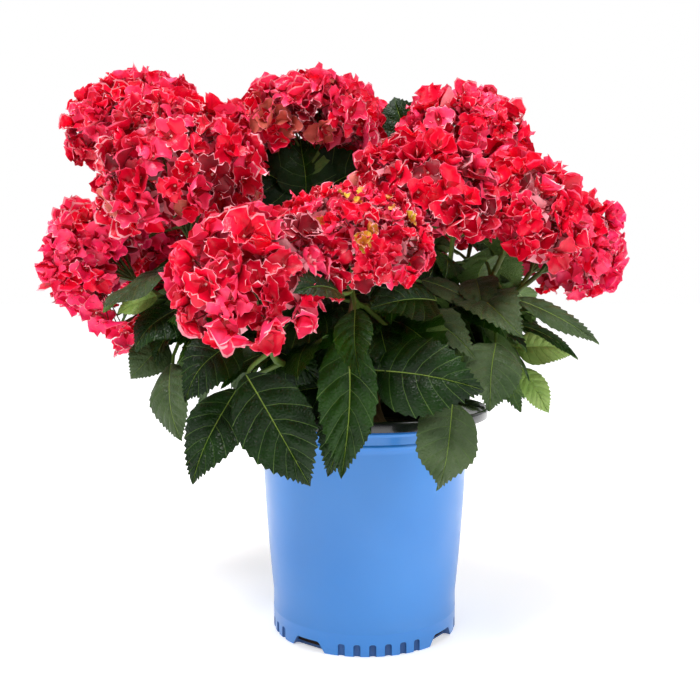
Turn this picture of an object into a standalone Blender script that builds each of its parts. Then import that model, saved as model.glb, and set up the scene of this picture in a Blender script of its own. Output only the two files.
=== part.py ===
"""Potted mophead hydrangea shrub: pot, soil, stems, leafy shoots and blooms, in metres, +Z up.

The origin is the middle of the pot's flat underside. -Y is the side that is looked at.
"""

import math
import random

import bmesh
import bpy
from mathutils import Matrix, Vector
from mathutils.bvhtree import BVHTree

PLANT_NAME = "potted_hydrangea_shrub"
UP = Vector((0.0, 0.0, 1.0))
GAP = 0.0003
GOLDEN_ANGLE = math.pi * (3.0 - math.sqrt(5.0))
MERGE_DISTANCE = 0.00001
FLAT_ANGLE = math.radians(0.5)

# Pot
POT_SIDES = 40
FLOOR_THICKNESS = 0.004
WALL_THICKNESS = 0.002
FOOT_RADIUS = 0.0878
FOOT_HEIGHT = 0.020
FOOT_STEP = 0.0016
BODY_TOP_RADIUS = 0.098
BODY_TOP_HEIGHT = 0.187
BODY_BULGE = 0.0015
BULGE_SHARES = (0.75, 0.50, 0.25)
RIM_RADIUS = 0.117
RIM_BOTTOM = 0.2025
RIM_TOP = 0.212
RIM_WALL = 0.003
NOTCH_COUNT = 4
NOTCH_FIRST_ANGLE = math.radians(-36.5)
NOTCH_WIDTH = 0.037
NOTCH_TOP_WIDTH = 0.024
NOTCH_HEIGHT = 0.010
NOTCH_DEPTH = 0.009

# Soil
SOIL_TOP = 0.190
SOIL_EDGE_DROP = 0.003
SOIL_FLAT_RADIUS = 0.034

# Main stem, from its flat cut at the soil to its fork
STEM_SIDES = 12
STEM_DOME_RADIUS = 0.020
STEM_DOME_HEIGHT = 0.226
STEM_WAIST_RADIUS = 0.017
STEM_FLARE_RADIUS = 0.027
STEM_LEAN = 0.06

# Boughs and twigs
BOUGH_ROOT_RADIUS = 0.0050
BOUGH_TIP_RADIUS = 0.0038
BOUGH_REACH = 0.42
SHOOT_RADIUS = 0.0034
TWIG_TIP_RADIUS = 0.0022
FORK_LENGTH = 0.012
LEAD = 0.003
BEND_PULL = 0.38
TUBE_STEPS = 4

# Leaves
LEAF_THICKNESS = 0.020
LEAF_WIDTH = 0.62
LEAF_SHOULDER = 0.75
LEAF_POINT = 1.15
LEAF_FOLD = 0.14
PETIOLE_RADIUS = 0.0014
PETIOLE_LENGTH = 0.020
LEAF_SECTIONS = (0.32, 0.70)
LEAF_CLEARANCE = 0.0012
LEAF_PAIRS = 3
LOW_LEAF_SHARE = 0.12
LOW_LEAF_LENGTH = 0.112
LOW_LEAF_DROOP = 38
HIGH_LEAF_SHARE = 0.78
HIGH_LEAF_LENGTH = 0.080
HIGH_LEAF_DROOP = 12
SKIRT_SHARE = 0.10
SKIRT_LENGTH = 0.115
SKIRT_DROOP = 44
SKIRT_SPREAD = (-62, -20, 20, 62)
LEAF_ARCH = 0.08
LEAF_TRIES = 7
LEAF_SHORTENING = 0.93
FIRST_WOBBLE = 0.25
MORE_WOBBLE = 0.12

# The space that the leaves keep to: a crown that widens upward from its lowest leaf
LEAF_FLOOR = 0.150
CROWN_MIDDLE_X = -0.02
CROWN_LOW_REACH = 0.165
CROWN_HIGH_REACH = 0.275
CROWN_WIDENING_HEIGHT = 0.13
FRONT_OF_CROWN_Y = -0.065
FRONT_LEAVES_TOP = 0.25
FRONT_LEAVES_SIDE = 0.152

# Blooms
BLOOM_FOOT_DROP = 0.004
CORE_SHARE = 0.78
CORE_STEP = 0.03
FLORET_SEAT = 0.86
FLORET_FOOT = 0.60
FLORET_RADIUS = 0.0225
FLORET_CUP = 0.0050
FLORET_AREA = 0.00210
FLORET_LIMIT = math.radians(118.0)
FLORET_CLEARANCE = 0.0008
BLOOM_MARGIN = 0.04

# Every bloom: the middle of its head, its radius across, its height above and below that middle,
# and the way it leans, as a bearing from +X and an angle from upright, in degrees.
BLOOMS = {
    "high_left": ((-0.230, 0.070, 0.488), 0.081, 0.053, 0.038, 170, 17),
    "left": ((-0.160, -0.070, 0.410), 0.072, 0.078, 0.060, 240, 12),
    "far_left": ((-0.240, -0.030, 0.350), 0.058, 0.056, 0.048, 188, 56),
    "top": ((-0.055, 0.010, 0.470), 0.079, 0.052, 0.044, 100, 6),
    "low_front": ((-0.084, -0.190, 0.324), 0.061, 0.056, 0.046, 250, 28),
    "front": ((-0.011, -0.146, 0.360), 0.066, 0.042, 0.034, 275, 24),
    "top_right": ((0.101, 0.060, 0.468), 0.070, 0.054, 0.046, 40, 10),
    "front_right": ((0.048, -0.080, 0.400), 0.065, 0.052, 0.044, 290, 20),
    "right": ((0.140, -0.034, 0.386), 0.062, 0.056, 0.048, 330, 26),
    "far_right": ((0.197, 0.014, 0.361), 0.052, 0.052, 0.048, 0, 50),
    "back_left": ((-0.150, 0.150, 0.425), 0.070, 0.056, 0.050, 135, 24),
    "far_back_left": ((-0.206, 0.118, 0.342), 0.058, 0.054, 0.046, 150, 48),
    "top_back": ((0.002, 0.128, 0.462), 0.072, 0.056, 0.050, 90, 12),
    "back_right": ((0.130, 0.160, 0.412), 0.066, 0.056, 0.048, 60, 26),
    "far_back_right": ((0.198, 0.112, 0.366), 0.056, 0.052, 0.046, 30, 42),
    "low_back_left": ((-0.085, 0.222, 0.352), 0.062, 0.054, 0.046, 110, 36),
    "low_back_right": ((0.050, 0.228, 0.338), 0.060, 0.054, 0.046, 80, 40),
}

# Every shoot: the blooms that its twigs carry, and where its bough leaves the main stem,
# as a bearing from +X and an angle above level, in degrees.
SHOOTS = {
    "front_left": (("low_front",), 245, 38),
    "front": (("front", "front_right"), 292, 70),
    "left": (("left", "far_left"), 190, 38),
    "back_left": (("high_left", "back_left", "far_back_left"), 143, 38),
    "middle": (("top", "top_back"), 112, 72),
    "back": (("low_back_left", "low_back_right"), 93, 36),
    "back_right": (("top_right", "back_right", "far_back_right"), 43, 38),
    "right": (("right", "far_right"), 352, 38),
}

# The large leaves that show from the front: their shoot, the two ends of the blade, its width,
# and the way that its upper face looks, as a bearing from +X and an angle above level, in degrees.
SHOWN_LEAVES = (
    ("front_left", (-0.104, -0.148, 0.270), (-0.140, -0.172, 0.230), 0.046, 258, 20),
    ("front_left", (-0.104, -0.138, 0.242), (-0.139, -0.156, 0.169), 0.050, 262, 12),
    ("front_left", (-0.093, -0.172, 0.257), (-0.044, -0.176, 0.172), 0.058, 274, 20),
    ("front_left", (-0.086, -0.130, 0.276), (-0.038, -0.138, 0.248), 0.042, 282, 30),
    ("front_left", (-0.100, -0.120, 0.232), (-0.084, -0.130, 0.188), 0.036, 255, 10),
    ("front", (-0.010, -0.146, 0.306), (-0.006, -0.180, 0.258), 0.030, 265, 25),
    ("front", (-0.016, -0.146, 0.288), (-0.021, -0.170, 0.176), 0.050, 268, 12),
    ("front", (-0.008, -0.132, 0.250), (-0.031, -0.146, 0.172), 0.046, 280, 8),
    ("front", (0.004, -0.138, 0.257), (0.088, -0.168, 0.245), 0.064, 265, 12),
    ("front", (0.069, -0.130, 0.230), (0.056, -0.154, 0.163), 0.052, 285, 10),
    ("front", (0.058, -0.104, 0.312), (0.004, -0.140, 0.308), 0.050, 270, 30),
    ("right", (0.111, -0.086, 0.276), (0.099, -0.128, 0.222), 0.052, 275, 25),
    ("right", (0.132, -0.062, 0.302), (0.212, -0.072, 0.262), 0.044, 250, 62),
    ("right", (0.128, -0.042, 0.288), (0.189, -0.056, 0.256), 0.026, 270, 55),
    ("right", (0.142, -0.018, 0.272), (0.194, -0.022, 0.267), 0.034, 270, 20),
    ("right", (0.140, -0.034, 0.244), (0.170, -0.034, 0.205), 0.034, 270, 15),
    ("left", (-0.168, -0.082, 0.258), (-0.157, -0.112, 0.196), 0.044, 245, 10),
    ("left", (-0.178, -0.056, 0.276), (-0.206, -0.074, 0.245), 0.040, 250, 25),
    ("left", (-0.160, -0.078, 0.306), (-0.196, -0.106, 0.276), 0.046, 250, 35),
)

COLOURS = {
    "pot": ((0.07, 0.26, 0.68), 0.28),
    "soil": ((0.035, 0.022, 0.015), 0.95),
    "stem": ((0.16, 0.11, 0.06), 0.80),
    "leaf": ((0.022, 0.085, 0.020), 0.50),
    "bloom": ((0.80, 0.02, 0.06), 0.55),
}


def clear_scene():
    """Removes whatever the new scene already holds."""
    for old in list(bpy.data.objects):
        bpy.data.objects.remove(old, do_unlink=True)


def new_collection(name):
    """An empty collection in the scene."""
    collection = bpy.data.collections.new(name)
    bpy.context.scene.collection.children.link(collection)
    return collection


def new_material(name):
    """A plain finish in one of the plant's colours."""
    colour, roughness = COLOURS[name]
    material = bpy.data.materials.new(name)
    material.use_nodes = True
    shader = material.node_tree.nodes["Principled BSDF"]
    shader.inputs["Base Color"].default_value = (*colour, 1.0)
    shader.inputs["Roughness"].default_value = roughness
    shader.inputs["Metallic"].default_value = 0.0
    return material


def object_from(bm, name):
    """An object that holds the edit mesh, which is freed."""
    mesh = bpy.data.meshes.new(name)
    bmesh.ops.triangulate(bm, faces=bm.faces)
    bmesh.ops.recalc_face_normals(bm, faces=bm.faces)
    bm.to_mesh(mesh)
    bm.free()
    return bpy.data.objects.new(name, mesh)


def evaluated_mesh(obj):
    """A new mesh of what the object shows, with its modifiers."""
    graph = bpy.context.evaluated_depsgraph_get()
    graph.update()
    return bpy.data.meshes.new_from_object(obj.evaluated_get(graph))


def direction(bearing, rise):
    """The unit vector at a bearing from +X and an angle above level, in degrees."""
    flat = math.cos(math.radians(rise))
    return Vector((
        flat * math.cos(math.radians(bearing)),
        flat * math.sin(math.radians(bearing)),
        math.sin(math.radians(rise)),
    ))


def across(vector, axis):
    """The part of a vector that is square to an axis, at unit length."""
    axis = axis.normalized()
    flat = vector - axis * vector.dot(axis)
    return flat.normalized()


# Turned pieces


def turned(name, profile, sides):
    """A solid turned about Z from a profile of (radius, height) points."""
    mesh = bpy.data.meshes.new(name)
    points = [(radius, 0.0, height) for radius, height in profile]
    edges = [(i, i + 1) for i in range(len(points) - 1)]
    mesh.from_pydata(points, edges, [])
    obj = bpy.data.objects.new(name, mesh)
    screw = obj.modifiers.new("Turn", "SCREW")
    screw.axis = "Z"
    screw.steps = sides
    screw.render_steps = sides
    screw.use_merge_vertices = True
    screw.merge_threshold = MERGE_DISTANCE
    return obj


def body_radius(height):
    """The outer radius of the pot's tapered body, which swells a little between its ends."""
    bottom = FOOT_RADIUS - FOOT_STEP
    share = (height - FOOT_HEIGHT) / (BODY_TOP_HEIGHT - FOOT_HEIGHT)
    bulge = BODY_BULGE * math.sin(math.pi * min(1.0, max(0.0, share)))
    return bottom + (BODY_TOP_RADIUS - bottom) * share + bulge


def bulge_profile():
    """The points down the swelling side of the pot's body, between its ends."""
    rise = BODY_TOP_HEIGHT - FOOT_HEIGHT
    heights = [FOOT_HEIGHT + rise * share for share in BULGE_SHARES]
    return [(body_radius(height), height) for height in heights]


def inner_radius(height):
    """The radius of the pot's inner wall."""
    return body_radius(height) - WALL_THICKNESS


def pot_profile():
    """The pot's section, from the middle of its floor over the rim to the middle of its underside."""
    lip = RIM_BOTTOM - 0.002
    lip_top = RIM_BOTTOM + 0.002
    return (
        (0.0, FLOOR_THICKNESS),
        (inner_radius(FLOOR_THICKNESS), FLOOR_THICKNESS),
        (inner_radius(lip), lip),
        (inner_radius(lip) + 0.001, lip_top),
        (RIM_RADIUS - RIM_WALL - 0.001, lip_top + 0.001),
        (RIM_RADIUS - RIM_WALL, RIM_TOP - 0.001),
        (RIM_RADIUS - 0.5 * RIM_WALL, RIM_TOP),
        (RIM_RADIUS, RIM_TOP - 0.002),
        (RIM_RADIUS, RIM_BOTTOM + 0.001),
        (RIM_RADIUS - 0.001, RIM_BOTTOM),
        (body_radius(lip) + 0.001, lip),
        (body_radius(BODY_TOP_HEIGHT), BODY_TOP_HEIGHT),
        *bulge_profile(),
        (body_radius(FOOT_HEIGHT), FOOT_HEIGHT),
        (FOOT_RADIUS, FOOT_HEIGHT - FOOT_STEP),
        (FOOT_RADIUS, 0.0),
        (0.0, 0.0),
    )


def notch_cutter(angle, collection):
    """The block that cuts one drain opening through the foot of the pot's wall.

    It tapers to the opening's top, and reaches as far below the floor as above it.
    """
    bpy.ops.mesh.primitive_cube_add(size=1.0)
    cutter = bpy.context.active_object
    cutter.name = "notch_cutter"
    low_width = 2.0 * NOTCH_WIDTH - NOTCH_TOP_WIDTH
    for vertex in cutter.data.vertices:
        if vertex.co.z > 0.0:
            vertex.co.y *= NOTCH_TOP_WIDTH / low_width
    reach = 2.0 * NOTCH_DEPTH
    middle = FOOT_RADIUS - NOTCH_DEPTH + 0.5 * reach
    cutter.scale = (reach, low_width, 2.0 * NOTCH_HEIGHT)
    cutter.location = (middle * math.cos(angle), middle * math.sin(angle), 0.0)
    cutter.rotation_euler = (0.0, 0.0, angle)
    cutter.hide_render = True
    cutter.display_type = "WIRE"
    for owner in list(cutter.users_collection):
        owner.objects.unlink(cutter)
    collection.objects.link(cutter)


def make_pot(parts, cutters):
    """The blown pot with its flared rim and four drain notches."""
    pot = turned("pot", pot_profile(), POT_SIDES)
    parts.objects.link(pot)
    for turn in range(NOTCH_COUNT):
        notch_cutter(NOTCH_FIRST_ANGLE + turn * math.tau / NOTCH_COUNT, cutters)
    notches = pot.modifiers.new("Notches", "BOOLEAN")
    notches.operation = "DIFFERENCE"
    notches.operand_type = "COLLECTION"
    notches.collection = cutters
    pot.data.materials.append(new_material("pot"))
    return pot


def make_soil(parts):
    """The potting soil that fills the pot to a little below its rim."""
    bottom = FLOOR_THICKNESS + GAP
    edge = SOIL_TOP - SOIL_EDGE_DROP
    profile = (
        (0.0, SOIL_TOP),
        (SOIL_FLAT_RADIUS, SOIL_TOP),
        (inner_radius(edge) - 2.0 * GAP, edge),
        (inner_radius(bottom) - 2.0 * GAP, bottom),
        (0.0, bottom),
    )
    soil = turned("soil", profile, POT_SIDES)
    parts.objects.link(soil)
    soil.data.materials.append(new_material("soil"))
    return soil


def stem_profile():
    """The main stem's section, from the top of its domed fork down to its flat cut."""
    foot = SOIL_TOP + GAP
    dome = [
        (
            STEM_DOME_RADIUS * math.sin(math.radians(angle)),
            STEM_DOME_HEIGHT + STEM_DOME_RADIUS * math.cos(math.radians(angle)),
        )
        for angle in (0, 22, 45, 68, 90)
    ]
    flare = [
        (STEM_WAIST_RADIUS, 0.5 * (foot + STEM_DOME_HEIGHT)),
        (0.5 * (STEM_WAIST_RADIUS + STEM_FLARE_RADIUS), foot + 0.006),
        (STEM_FLARE_RADIUS, foot),
        (0.0, foot),
    ]
    return dome + flare


def make_main_stem(parts):
    """The short woody stem with its root flare and a slight lean."""
    stem = turned("main_stem", stem_profile(), STEM_SIDES)
    parts.objects.link(stem)
    leaning = evaluated_mesh(stem)
    bpy.data.objects.remove(stem)
    foot = SOIL_TOP + GAP
    for vertex in leaning.vertices:
        vertex.co.x -= STEM_LEAN * (min(vertex.co.z, STEM_DOME_HEIGHT) - foot)
    stem = bpy.data.objects.new("main_stem", leaning)
    parts.objects.link(stem)
    stem.data.materials.append(new_material("stem"))
    return stem


def fork_centre():
    """The middle of the main stem's domed fork."""
    lean = STEM_LEAN * (STEM_DOME_HEIGHT - SOIL_TOP - GAP)
    return Vector((-lean, 0.0, STEM_DOME_HEIGHT))


# Limbs


def bend(start, start_way, end, end_way, steps=TUBE_STEPS):
    """Points on a smooth limb that leaves one place and reaches another along given directions."""
    length = (end - start).length
    near = start + start_way * (BEND_PULL * length)
    far = end - end_way * (BEND_PULL * length)
    points = [start, start + start_way * LEAD]
    for step in range(1, steps):
        t = step / steps
        u = 1.0 - t
        points.append(start * u**3 + near * (3 * u * u * t) + far * (3 * u * t * t) + end * t**3)
    return points + [end - end_way * LEAD, end]


def tube(points, first_radius, last_radius, detail):
    """A tapering limb with flat ends, as a closed mesh object."""
    curve = bpy.data.curves.new("limb", "CURVE")
    curve.dimensions = "3D"
    curve.bevel_depth = 1.0
    curve.bevel_resolution = detail
    curve.use_fill_caps = True
    spline = curve.splines.new("POLY")
    spline.points.add(len(points) - 1)
    for index, (point, place) in enumerate(zip(spline.points, points)):
        share = index / (len(points) - 1)
        point.co = (*place, 1.0)
        point.radius = first_radius + (last_radius - first_radius) * share
    carrier = bpy.data.objects.new("limb", curve)
    bpy.context.scene.collection.objects.link(carrier)
    mesh = evaluated_mesh(carrier)
    bpy.data.objects.remove(carrier)
    bpy.data.curves.remove(curve)
    bm = bmesh.new()
    bm.from_mesh(mesh)
    bpy.data.meshes.remove(mesh)
    bmesh.ops.remove_doubles(bm, verts=bm.verts, dist=MERGE_DISTANCE)
    return object_from(bm, "limb")


def bloom_axis(name):
    """The way a bloom's head looks."""
    bearing, lean = BLOOMS[name][4:]
    return direction(bearing, 90 - lean)


def bloom_foot(name):
    """Where a twig ends under its bloom."""
    centre, _, _, drop, _, _ = BLOOMS[name]
    return Vector(centre) - bloom_axis(name) * (drop + BLOOM_FOOT_DROP)


def bough_ends(name):
    """A bough's two ends and the way it points at each."""
    carried, bearing, rise = SHOOTS[name]
    root_way = direction(bearing, rise)
    root = fork_centre() + root_way * (STEM_DOME_RADIUS + GAP)
    feet = [bloom_foot(bloom) for bloom in carried]
    goal = sum(feet, Vector()) / len(feet)
    tip = root + (goal - root) * BOUGH_REACH
    return root, root_way, tip, (goal - tip).normalized()


def make_bough(name, parts, taken, material):
    """One tapering limb from the main stem's fork to the shoot that it carries."""
    root, root_way, tip, tip_way = bough_ends(name)
    bough = tube(bend(root, root_way, tip, tip_way), BOUGH_ROOT_RADIUS, BOUGH_TIP_RADIUS, 1)
    bough.name = "bough_" + name
    parts.objects.link(bough)
    bough.data.materials.append(material)
    taken[bough.name] = [tree_of(bough)]


def twig_lines(name):
    """The middle line of every twig in a shoot, each from the shoot's fork to a bloom."""
    carried = SHOOTS[name][0]
    _, _, tip, way = bough_ends(name)
    start = tip + way * (GAP + FORK_LENGTH)
    return [bend(start, way, bloom_foot(bloom), bloom_axis(bloom)) for bloom in carried]


def shoot_limbs(name):
    """The stem and the twigs of one shoot, as overlapping solids."""
    _, _, tip, way = bough_ends(name)
    foot = tip + way * GAP
    stem_end = foot + way * (FORK_LENGTH + LEAD)
    limbs = [tube([foot, stem_end], SHOOT_RADIUS, SHOOT_RADIUS, 0)]
    for line in twig_lines(name):
        limbs.append(tube(line, SHOOT_RADIUS * 0.9, TWIG_TIP_RADIUS, 0))
    return limbs


# Leaves


def half_width(share):
    """A blade's half width along its length, as a share of its widest."""
    peak = LEAF_SHOULDER / (LEAF_SHOULDER + LEAF_POINT)
    widest = peak**LEAF_SHOULDER * (1.0 - peak) ** LEAF_POINT
    return share**LEAF_SHOULDER * (1.0 - share) ** LEAF_POINT / widest


def leaf_frame(base, tip, face):
    """A blade's length, its way, its upper normal and its side."""
    way = (tip - base).normalized()
    normal = across(face, way)
    return (tip - base).length, way, normal, way.cross(normal)


def leaf_solid(root, base, tip, width, face, arch, swell=0.0, stalked=True):
    """A closed leaf: its petiole from the twig, and a folded, arched blade to its tip."""
    length, way, normal, side = leaf_frame(base, tip, face)
    thick = LEAF_THICKNESS * length + swell
    bm = bmesh.new()

    def ring(middle, spread, lift, depth, ring_side, ring_normal):
        places = (
            middle + ring_side * spread + ring_normal * lift,
            middle + ring_normal * (0.5 * depth),
            middle - ring_side * spread + ring_normal * lift,
            middle - ring_normal * (0.5 * depth),
        )
        return [bm.verts.new(place) for place in places]

    stalk = (base - root).normalized()
    stalk_side = across(side, stalk)
    stalk_radius = PETIOLE_RADIUS + 0.5 * swell
    stalk_normal = stalk_side.cross(stalk)
    rings = [ring(base, stalk_radius, 0.0, 2.0 * stalk_radius, side, normal)]
    if stalked:
        rings.insert(0, ring(root, stalk_radius, 0.0, 2.0 * stalk_radius, stalk_side, stalk_normal))
    for share in LEAF_SECTIONS:
        middle = base + way * (length * share) + normal * (4.0 * arch * length * share * (1.0 - share))
        spread = 0.5 * width * half_width(share) + swell
        rings.append(ring(middle, spread, LEAF_FOLD * spread, thick, side, normal))
    bm.faces.new(reversed(rings[0]))
    for near, far in zip(rings, rings[1:]):
        for corner in range(4):
            after = (corner + 1) % 4
            bm.faces.new((near[corner], near[after], far[after], far[corner]))
    point = bm.verts.new(tip + way * swell)
    for corner in range(4):
        bm.faces.new((rings[-1][corner], rings[-1][(corner + 1) % 4], point))
    return object_from(bm, "leaf")


def tree_of(obj):
    """The search tree of an object's faces, with its modifiers."""
    mesh = evaluated_mesh(obj) if obj.modifiers else obj.data
    bm = bmesh.new()
    bm.from_mesh(mesh)
    tree = BVHTree.FromBMesh(bm)
    bm.free()
    return tree


def is_clear(tree, taken, owner):
    """True if a solid touches nothing that another node has taken."""
    return not any(
        tree.overlap(other)
        for name, others in taken.items()
        if name != owner
        for other in others
    )


def crown_reach(height):
    """How far from the crown's middle a leaf may reach at a height."""
    share = min(1.0, max(0.0, (height - LEAF_FLOOR) / CROWN_WIDENING_HEIGHT))
    return CROWN_LOW_REACH + (CROWN_HIGH_REACH - CROWN_LOW_REACH) * share


def keeps_to_crown(tip):
    """True if a leaf's tip stays in the crown and leaves the shown leaves their place."""
    reach = math.hypot(tip.x - CROWN_MIDDLE_X, tip.y)
    at_front = tip.y < FRONT_OF_CROWN_Y and tip.z < FRONT_LEAVES_TOP and abs(tip.x) < FRONT_LEAVES_SIDE
    return LEAF_FLOOR < tip.z and reach < crown_reach(tip.z) and not at_front


def nearest_on(lines, place):
    """The point of a shoot's twigs that lies nearest to a place."""
    best, best_distance = None, math.inf
    for line in lines:
        for start, end in zip(line, line[1:]):
            span = end - start
            share = min(1.0, max(0.0, (place - start).dot(span) / span.length_squared))
            point = start + span * share
            if (place - point).length < best_distance:
                best, best_distance = point, (place - point).length
    return best


def tree_and_drop(obj):
    """The search tree of a trial solid, which is then removed."""
    tree = tree_of(obj)
    discard(obj)
    return tree


def place_leaf(tries, taken, owner, blades):
    """The first of a leaf's tries that touches no other node and no blade of its own shoot, if any."""
    for leaf in tries:
        whole = tree_and_drop(leaf_solid(*leaf, LEAF_CLEARANCE))
        blade = tree_and_drop(leaf_solid(*leaf, stalked=False))
        if is_clear(whole, taken, owner) and not any(blade.overlap(other) for other in blades):
            solid = leaf_solid(*leaf)
            taken[owner].append(tree_of(solid))
            blades.append(blade)
            return [solid]
    return []


def discard(obj):
    """Removes an object and its mesh."""
    mesh = obj.data
    bpy.data.objects.remove(obj)
    bpy.data.meshes.remove(mesh)


def shown_leaves(name):
    """The large front leaves that belong to a shoot."""
    lines = twig_lines(name)
    for shoot, base, tip, width, bearing, rise in SHOWN_LEAVES:
        if shoot == name:
            base, tip = Vector(base), Vector(tip)
            yield nearest_on(lines, base), base, tip, width, direction(bearing, rise), LEAF_ARCH


def twig_leaf(line, share, turn, length, droop, roll):
    """One leaf of an opposite pair, set on a twig at a share of its length."""
    index = share * (len(line) - 1)
    before = min(int(index), len(line) - 2)
    start, end = line[before], line[before + 1]
    root = start + (end - start) * (index - before)
    along = (end - start).normalized()
    sideways = across(Vector((math.cos(turn), math.sin(turn), 0.3)), along)
    outward = Vector((root.x, root.y, 0.0)).normalized()
    stalk = (sideways + along * 0.5 + outward * 0.2).normalized()
    base = root + stalk * PETIOLE_LENGTH
    flat = Vector((stalk.x, stalk.y, 0.0)).normalized() * 0.8 + outward * 0.35
    way = (flat.normalized() * math.cos(droop) - UP * math.sin(droop)).normalized()
    face = UP + outward * 0.4 + way.cross(UP) * roll
    return root, base, base + way * length, LEAF_WIDTH * length, face, LEAF_ARCH


def pair_leaves(name, dice):
    """The opposite pairs along a shoot's twigs, each pair turned a quarter from the last."""
    for line in twig_lines(name):
        first_turn = dice.uniform(0.0, math.pi)
        for pair in range(LEAF_PAIRS):
            rank = pair / (LEAF_PAIRS - 1)
            share = LOW_LEAF_SHARE + (HIGH_LEAF_SHARE - LOW_LEAF_SHARE) * rank
            length = LOW_LEAF_LENGTH + (HIGH_LEAF_LENGTH - LOW_LEAF_LENGTH) * rank
            droop = LOW_LEAF_DROOP + (HIGH_LEAF_DROOP - LOW_LEAF_DROOP) * rank
            for side in (0.0, math.pi):
                yield line, share, first_turn + pair * math.pi / 2 + side, length, droop


def skirt_leaves(name):
    """The large low leaves of a shoot, which hang out over the pot's rim."""
    line = twig_lines(name)[0]
    outward = math.atan2(line[2].y, line[2].x)
    for spread in SKIRT_SPREAD:
        yield line, SKIRT_SHARE, outward + math.radians(spread), SKIRT_LENGTH, SKIRT_DROOP


def leaf_tries(slot, dice):
    """The ways that one leaf may turn, hang and shorten to find room in the crown."""
    line, share, turn, length, droop = slot
    for attempt in range(LEAF_TRIES):
        wobble = FIRST_WOBBLE + MORE_WOBBLE * attempt
        leaf = twig_leaf(
            line,
            share,
            turn + dice.uniform(-wobble, wobble),
            length * dice.uniform(0.86, 1.08) * LEAF_SHORTENING**attempt,
            math.radians(droop + dice.uniform(-14, 18)),
            dice.uniform(-0.9, 0.9),
        )
        if keeps_to_crown(leaf[2]):
            yield leaf


def grown_leaves(name):
    """The tries of every leaf that a shoot grows by its rule."""
    dice = random.Random("leaves " + name)
    for slot in list(skirt_leaves(name)) + list(pair_leaves(name, dice)):
        yield list(leaf_tries(slot, dice))


def add_leaves(shoots, taken):
    """Adds to every shoot the leaves that it has room for, the ones that show first."""
    blades = {name: [] for name in shoots}
    for name, pieces in shoots.items():
        for leaf in shown_leaves(name):
            pieces += place_leaf([leaf], taken, "leaves_" + name, blades[name])
    for name, pieces in shoots.items():
        for tries in grown_leaves(name):
            pieces += place_leaf(tries, taken, "leaves_" + name, blades[name])


# Blooms


def bloom_frame(name):
    """A bloom's middle and the turn that takes +Z to its axis."""
    centre = Vector(BLOOMS[name][0])
    turn = UP.rotation_difference(bloom_axis(name)).to_matrix()
    return centre, turn


def dome_point(name, slope, turn, scale=1.0):
    """A point on a bloom's dome, at an angle from its axis and a turn about it, and the normal there."""
    _, radius, rise, drop, _, _ = BLOOMS[name]
    centre, frame = bloom_frame(name)
    height = rise if math.cos(slope) >= 0.0 else drop
    round_part = math.sin(slope)
    local = Vector((
        radius * round_part * math.cos(turn),
        radius * round_part * math.sin(turn),
        height * math.cos(slope),
    ))
    normal = Vector((local.x / radius**2, local.y / radius**2, local.z / height**2))
    return centre + frame @ (local * scale), (frame @ normal).normalized()


def depth_in(name, place):
    """How far out a place lies in a bloom's dome: 0 at its middle and 1 on its surface."""
    _, radius, rise, drop, _, _ = BLOOMS[name]
    centre, frame = bloom_frame(name)
    local = frame.transposed() @ (place - centre)
    height = rise if local.z >= 0.0 else drop
    return math.sqrt((local.x / radius) ** 2 + (local.y / radius) ** 2 + (local.z / height) ** 2)


def own_space(name, place):
    """True if a place lies nearer to its own bloom than to any other."""
    own = depth_in(name, place)
    return all(own < depth_in(other, place) - BLOOM_MARGIN for other in BLOOMS if other != name)


def bloom_core(name):
    """The dense heart of a bloom, which its florets stand out of."""
    _, radius, rise, drop, _, _ = BLOOMS[name]
    centre, frame = bloom_frame(name)
    bm = bmesh.new()
    bmesh.ops.create_icosphere(bm, subdivisions=2, radius=1.0)
    for vertex in bm.verts:
        height = rise if vertex.co.z >= 0.0 else drop
        reach = frame @ Vector((vertex.co.x * radius, vertex.co.y * radius, vertex.co.z * height))
        share = CORE_SHARE
        while not own_space(name, centre + reach * (share + CORE_STEP)):
            share -= CORE_STEP
        vertex.co = centre + reach * share
    return object_from(bm, "core")


def floret_solid(name, slope, turn, dice, swell=0.0):
    """A cupped floret of four pointed lobes, whose foot is sunk in the bloom's heart."""
    rim, normal = dome_point(name, slope, turn, FLORET_SEAT)
    foot, _ = dome_point(name, slope, turn, FLORET_FOOT)
    radius = FLORET_RADIUS * dice.uniform(0.9, 1.1) + swell
    spin = dice.uniform(0.0, math.pi / 2)
    lean = Vector((dice.uniform(-0.25, 0.25), dice.uniform(-0.25, 0.25), 0.0))
    normal = (normal + bloom_frame(name)[1] @ lean).normalized()
    bm = bmesh.new()
    bmesh.ops.create_cone(
        bm, cap_ends=True, cap_tris=True, segments=4, radius1=0.0, radius2=radius, depth=(rim - foot).length,
    )
    bmesh.ops.remove_doubles(bm, verts=bm.verts, dist=MERGE_DISTANCE)
    turned_up = UP.rotation_difference(normal).to_matrix() @ Matrix.Rotation(spin, 3, "Z")
    for vertex in bm.verts:
        if vertex.co.z < 0.0:
            vertex.co = foot
        else:
            lift = FLORET_CUP if vertex.co.xy.length > 0.1 * radius else -FLORET_CUP
            vertex.co = rim + turned_up @ Vector((vertex.co.x, vertex.co.y, lift + swell))
    return object_from(bm, "floret")


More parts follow.
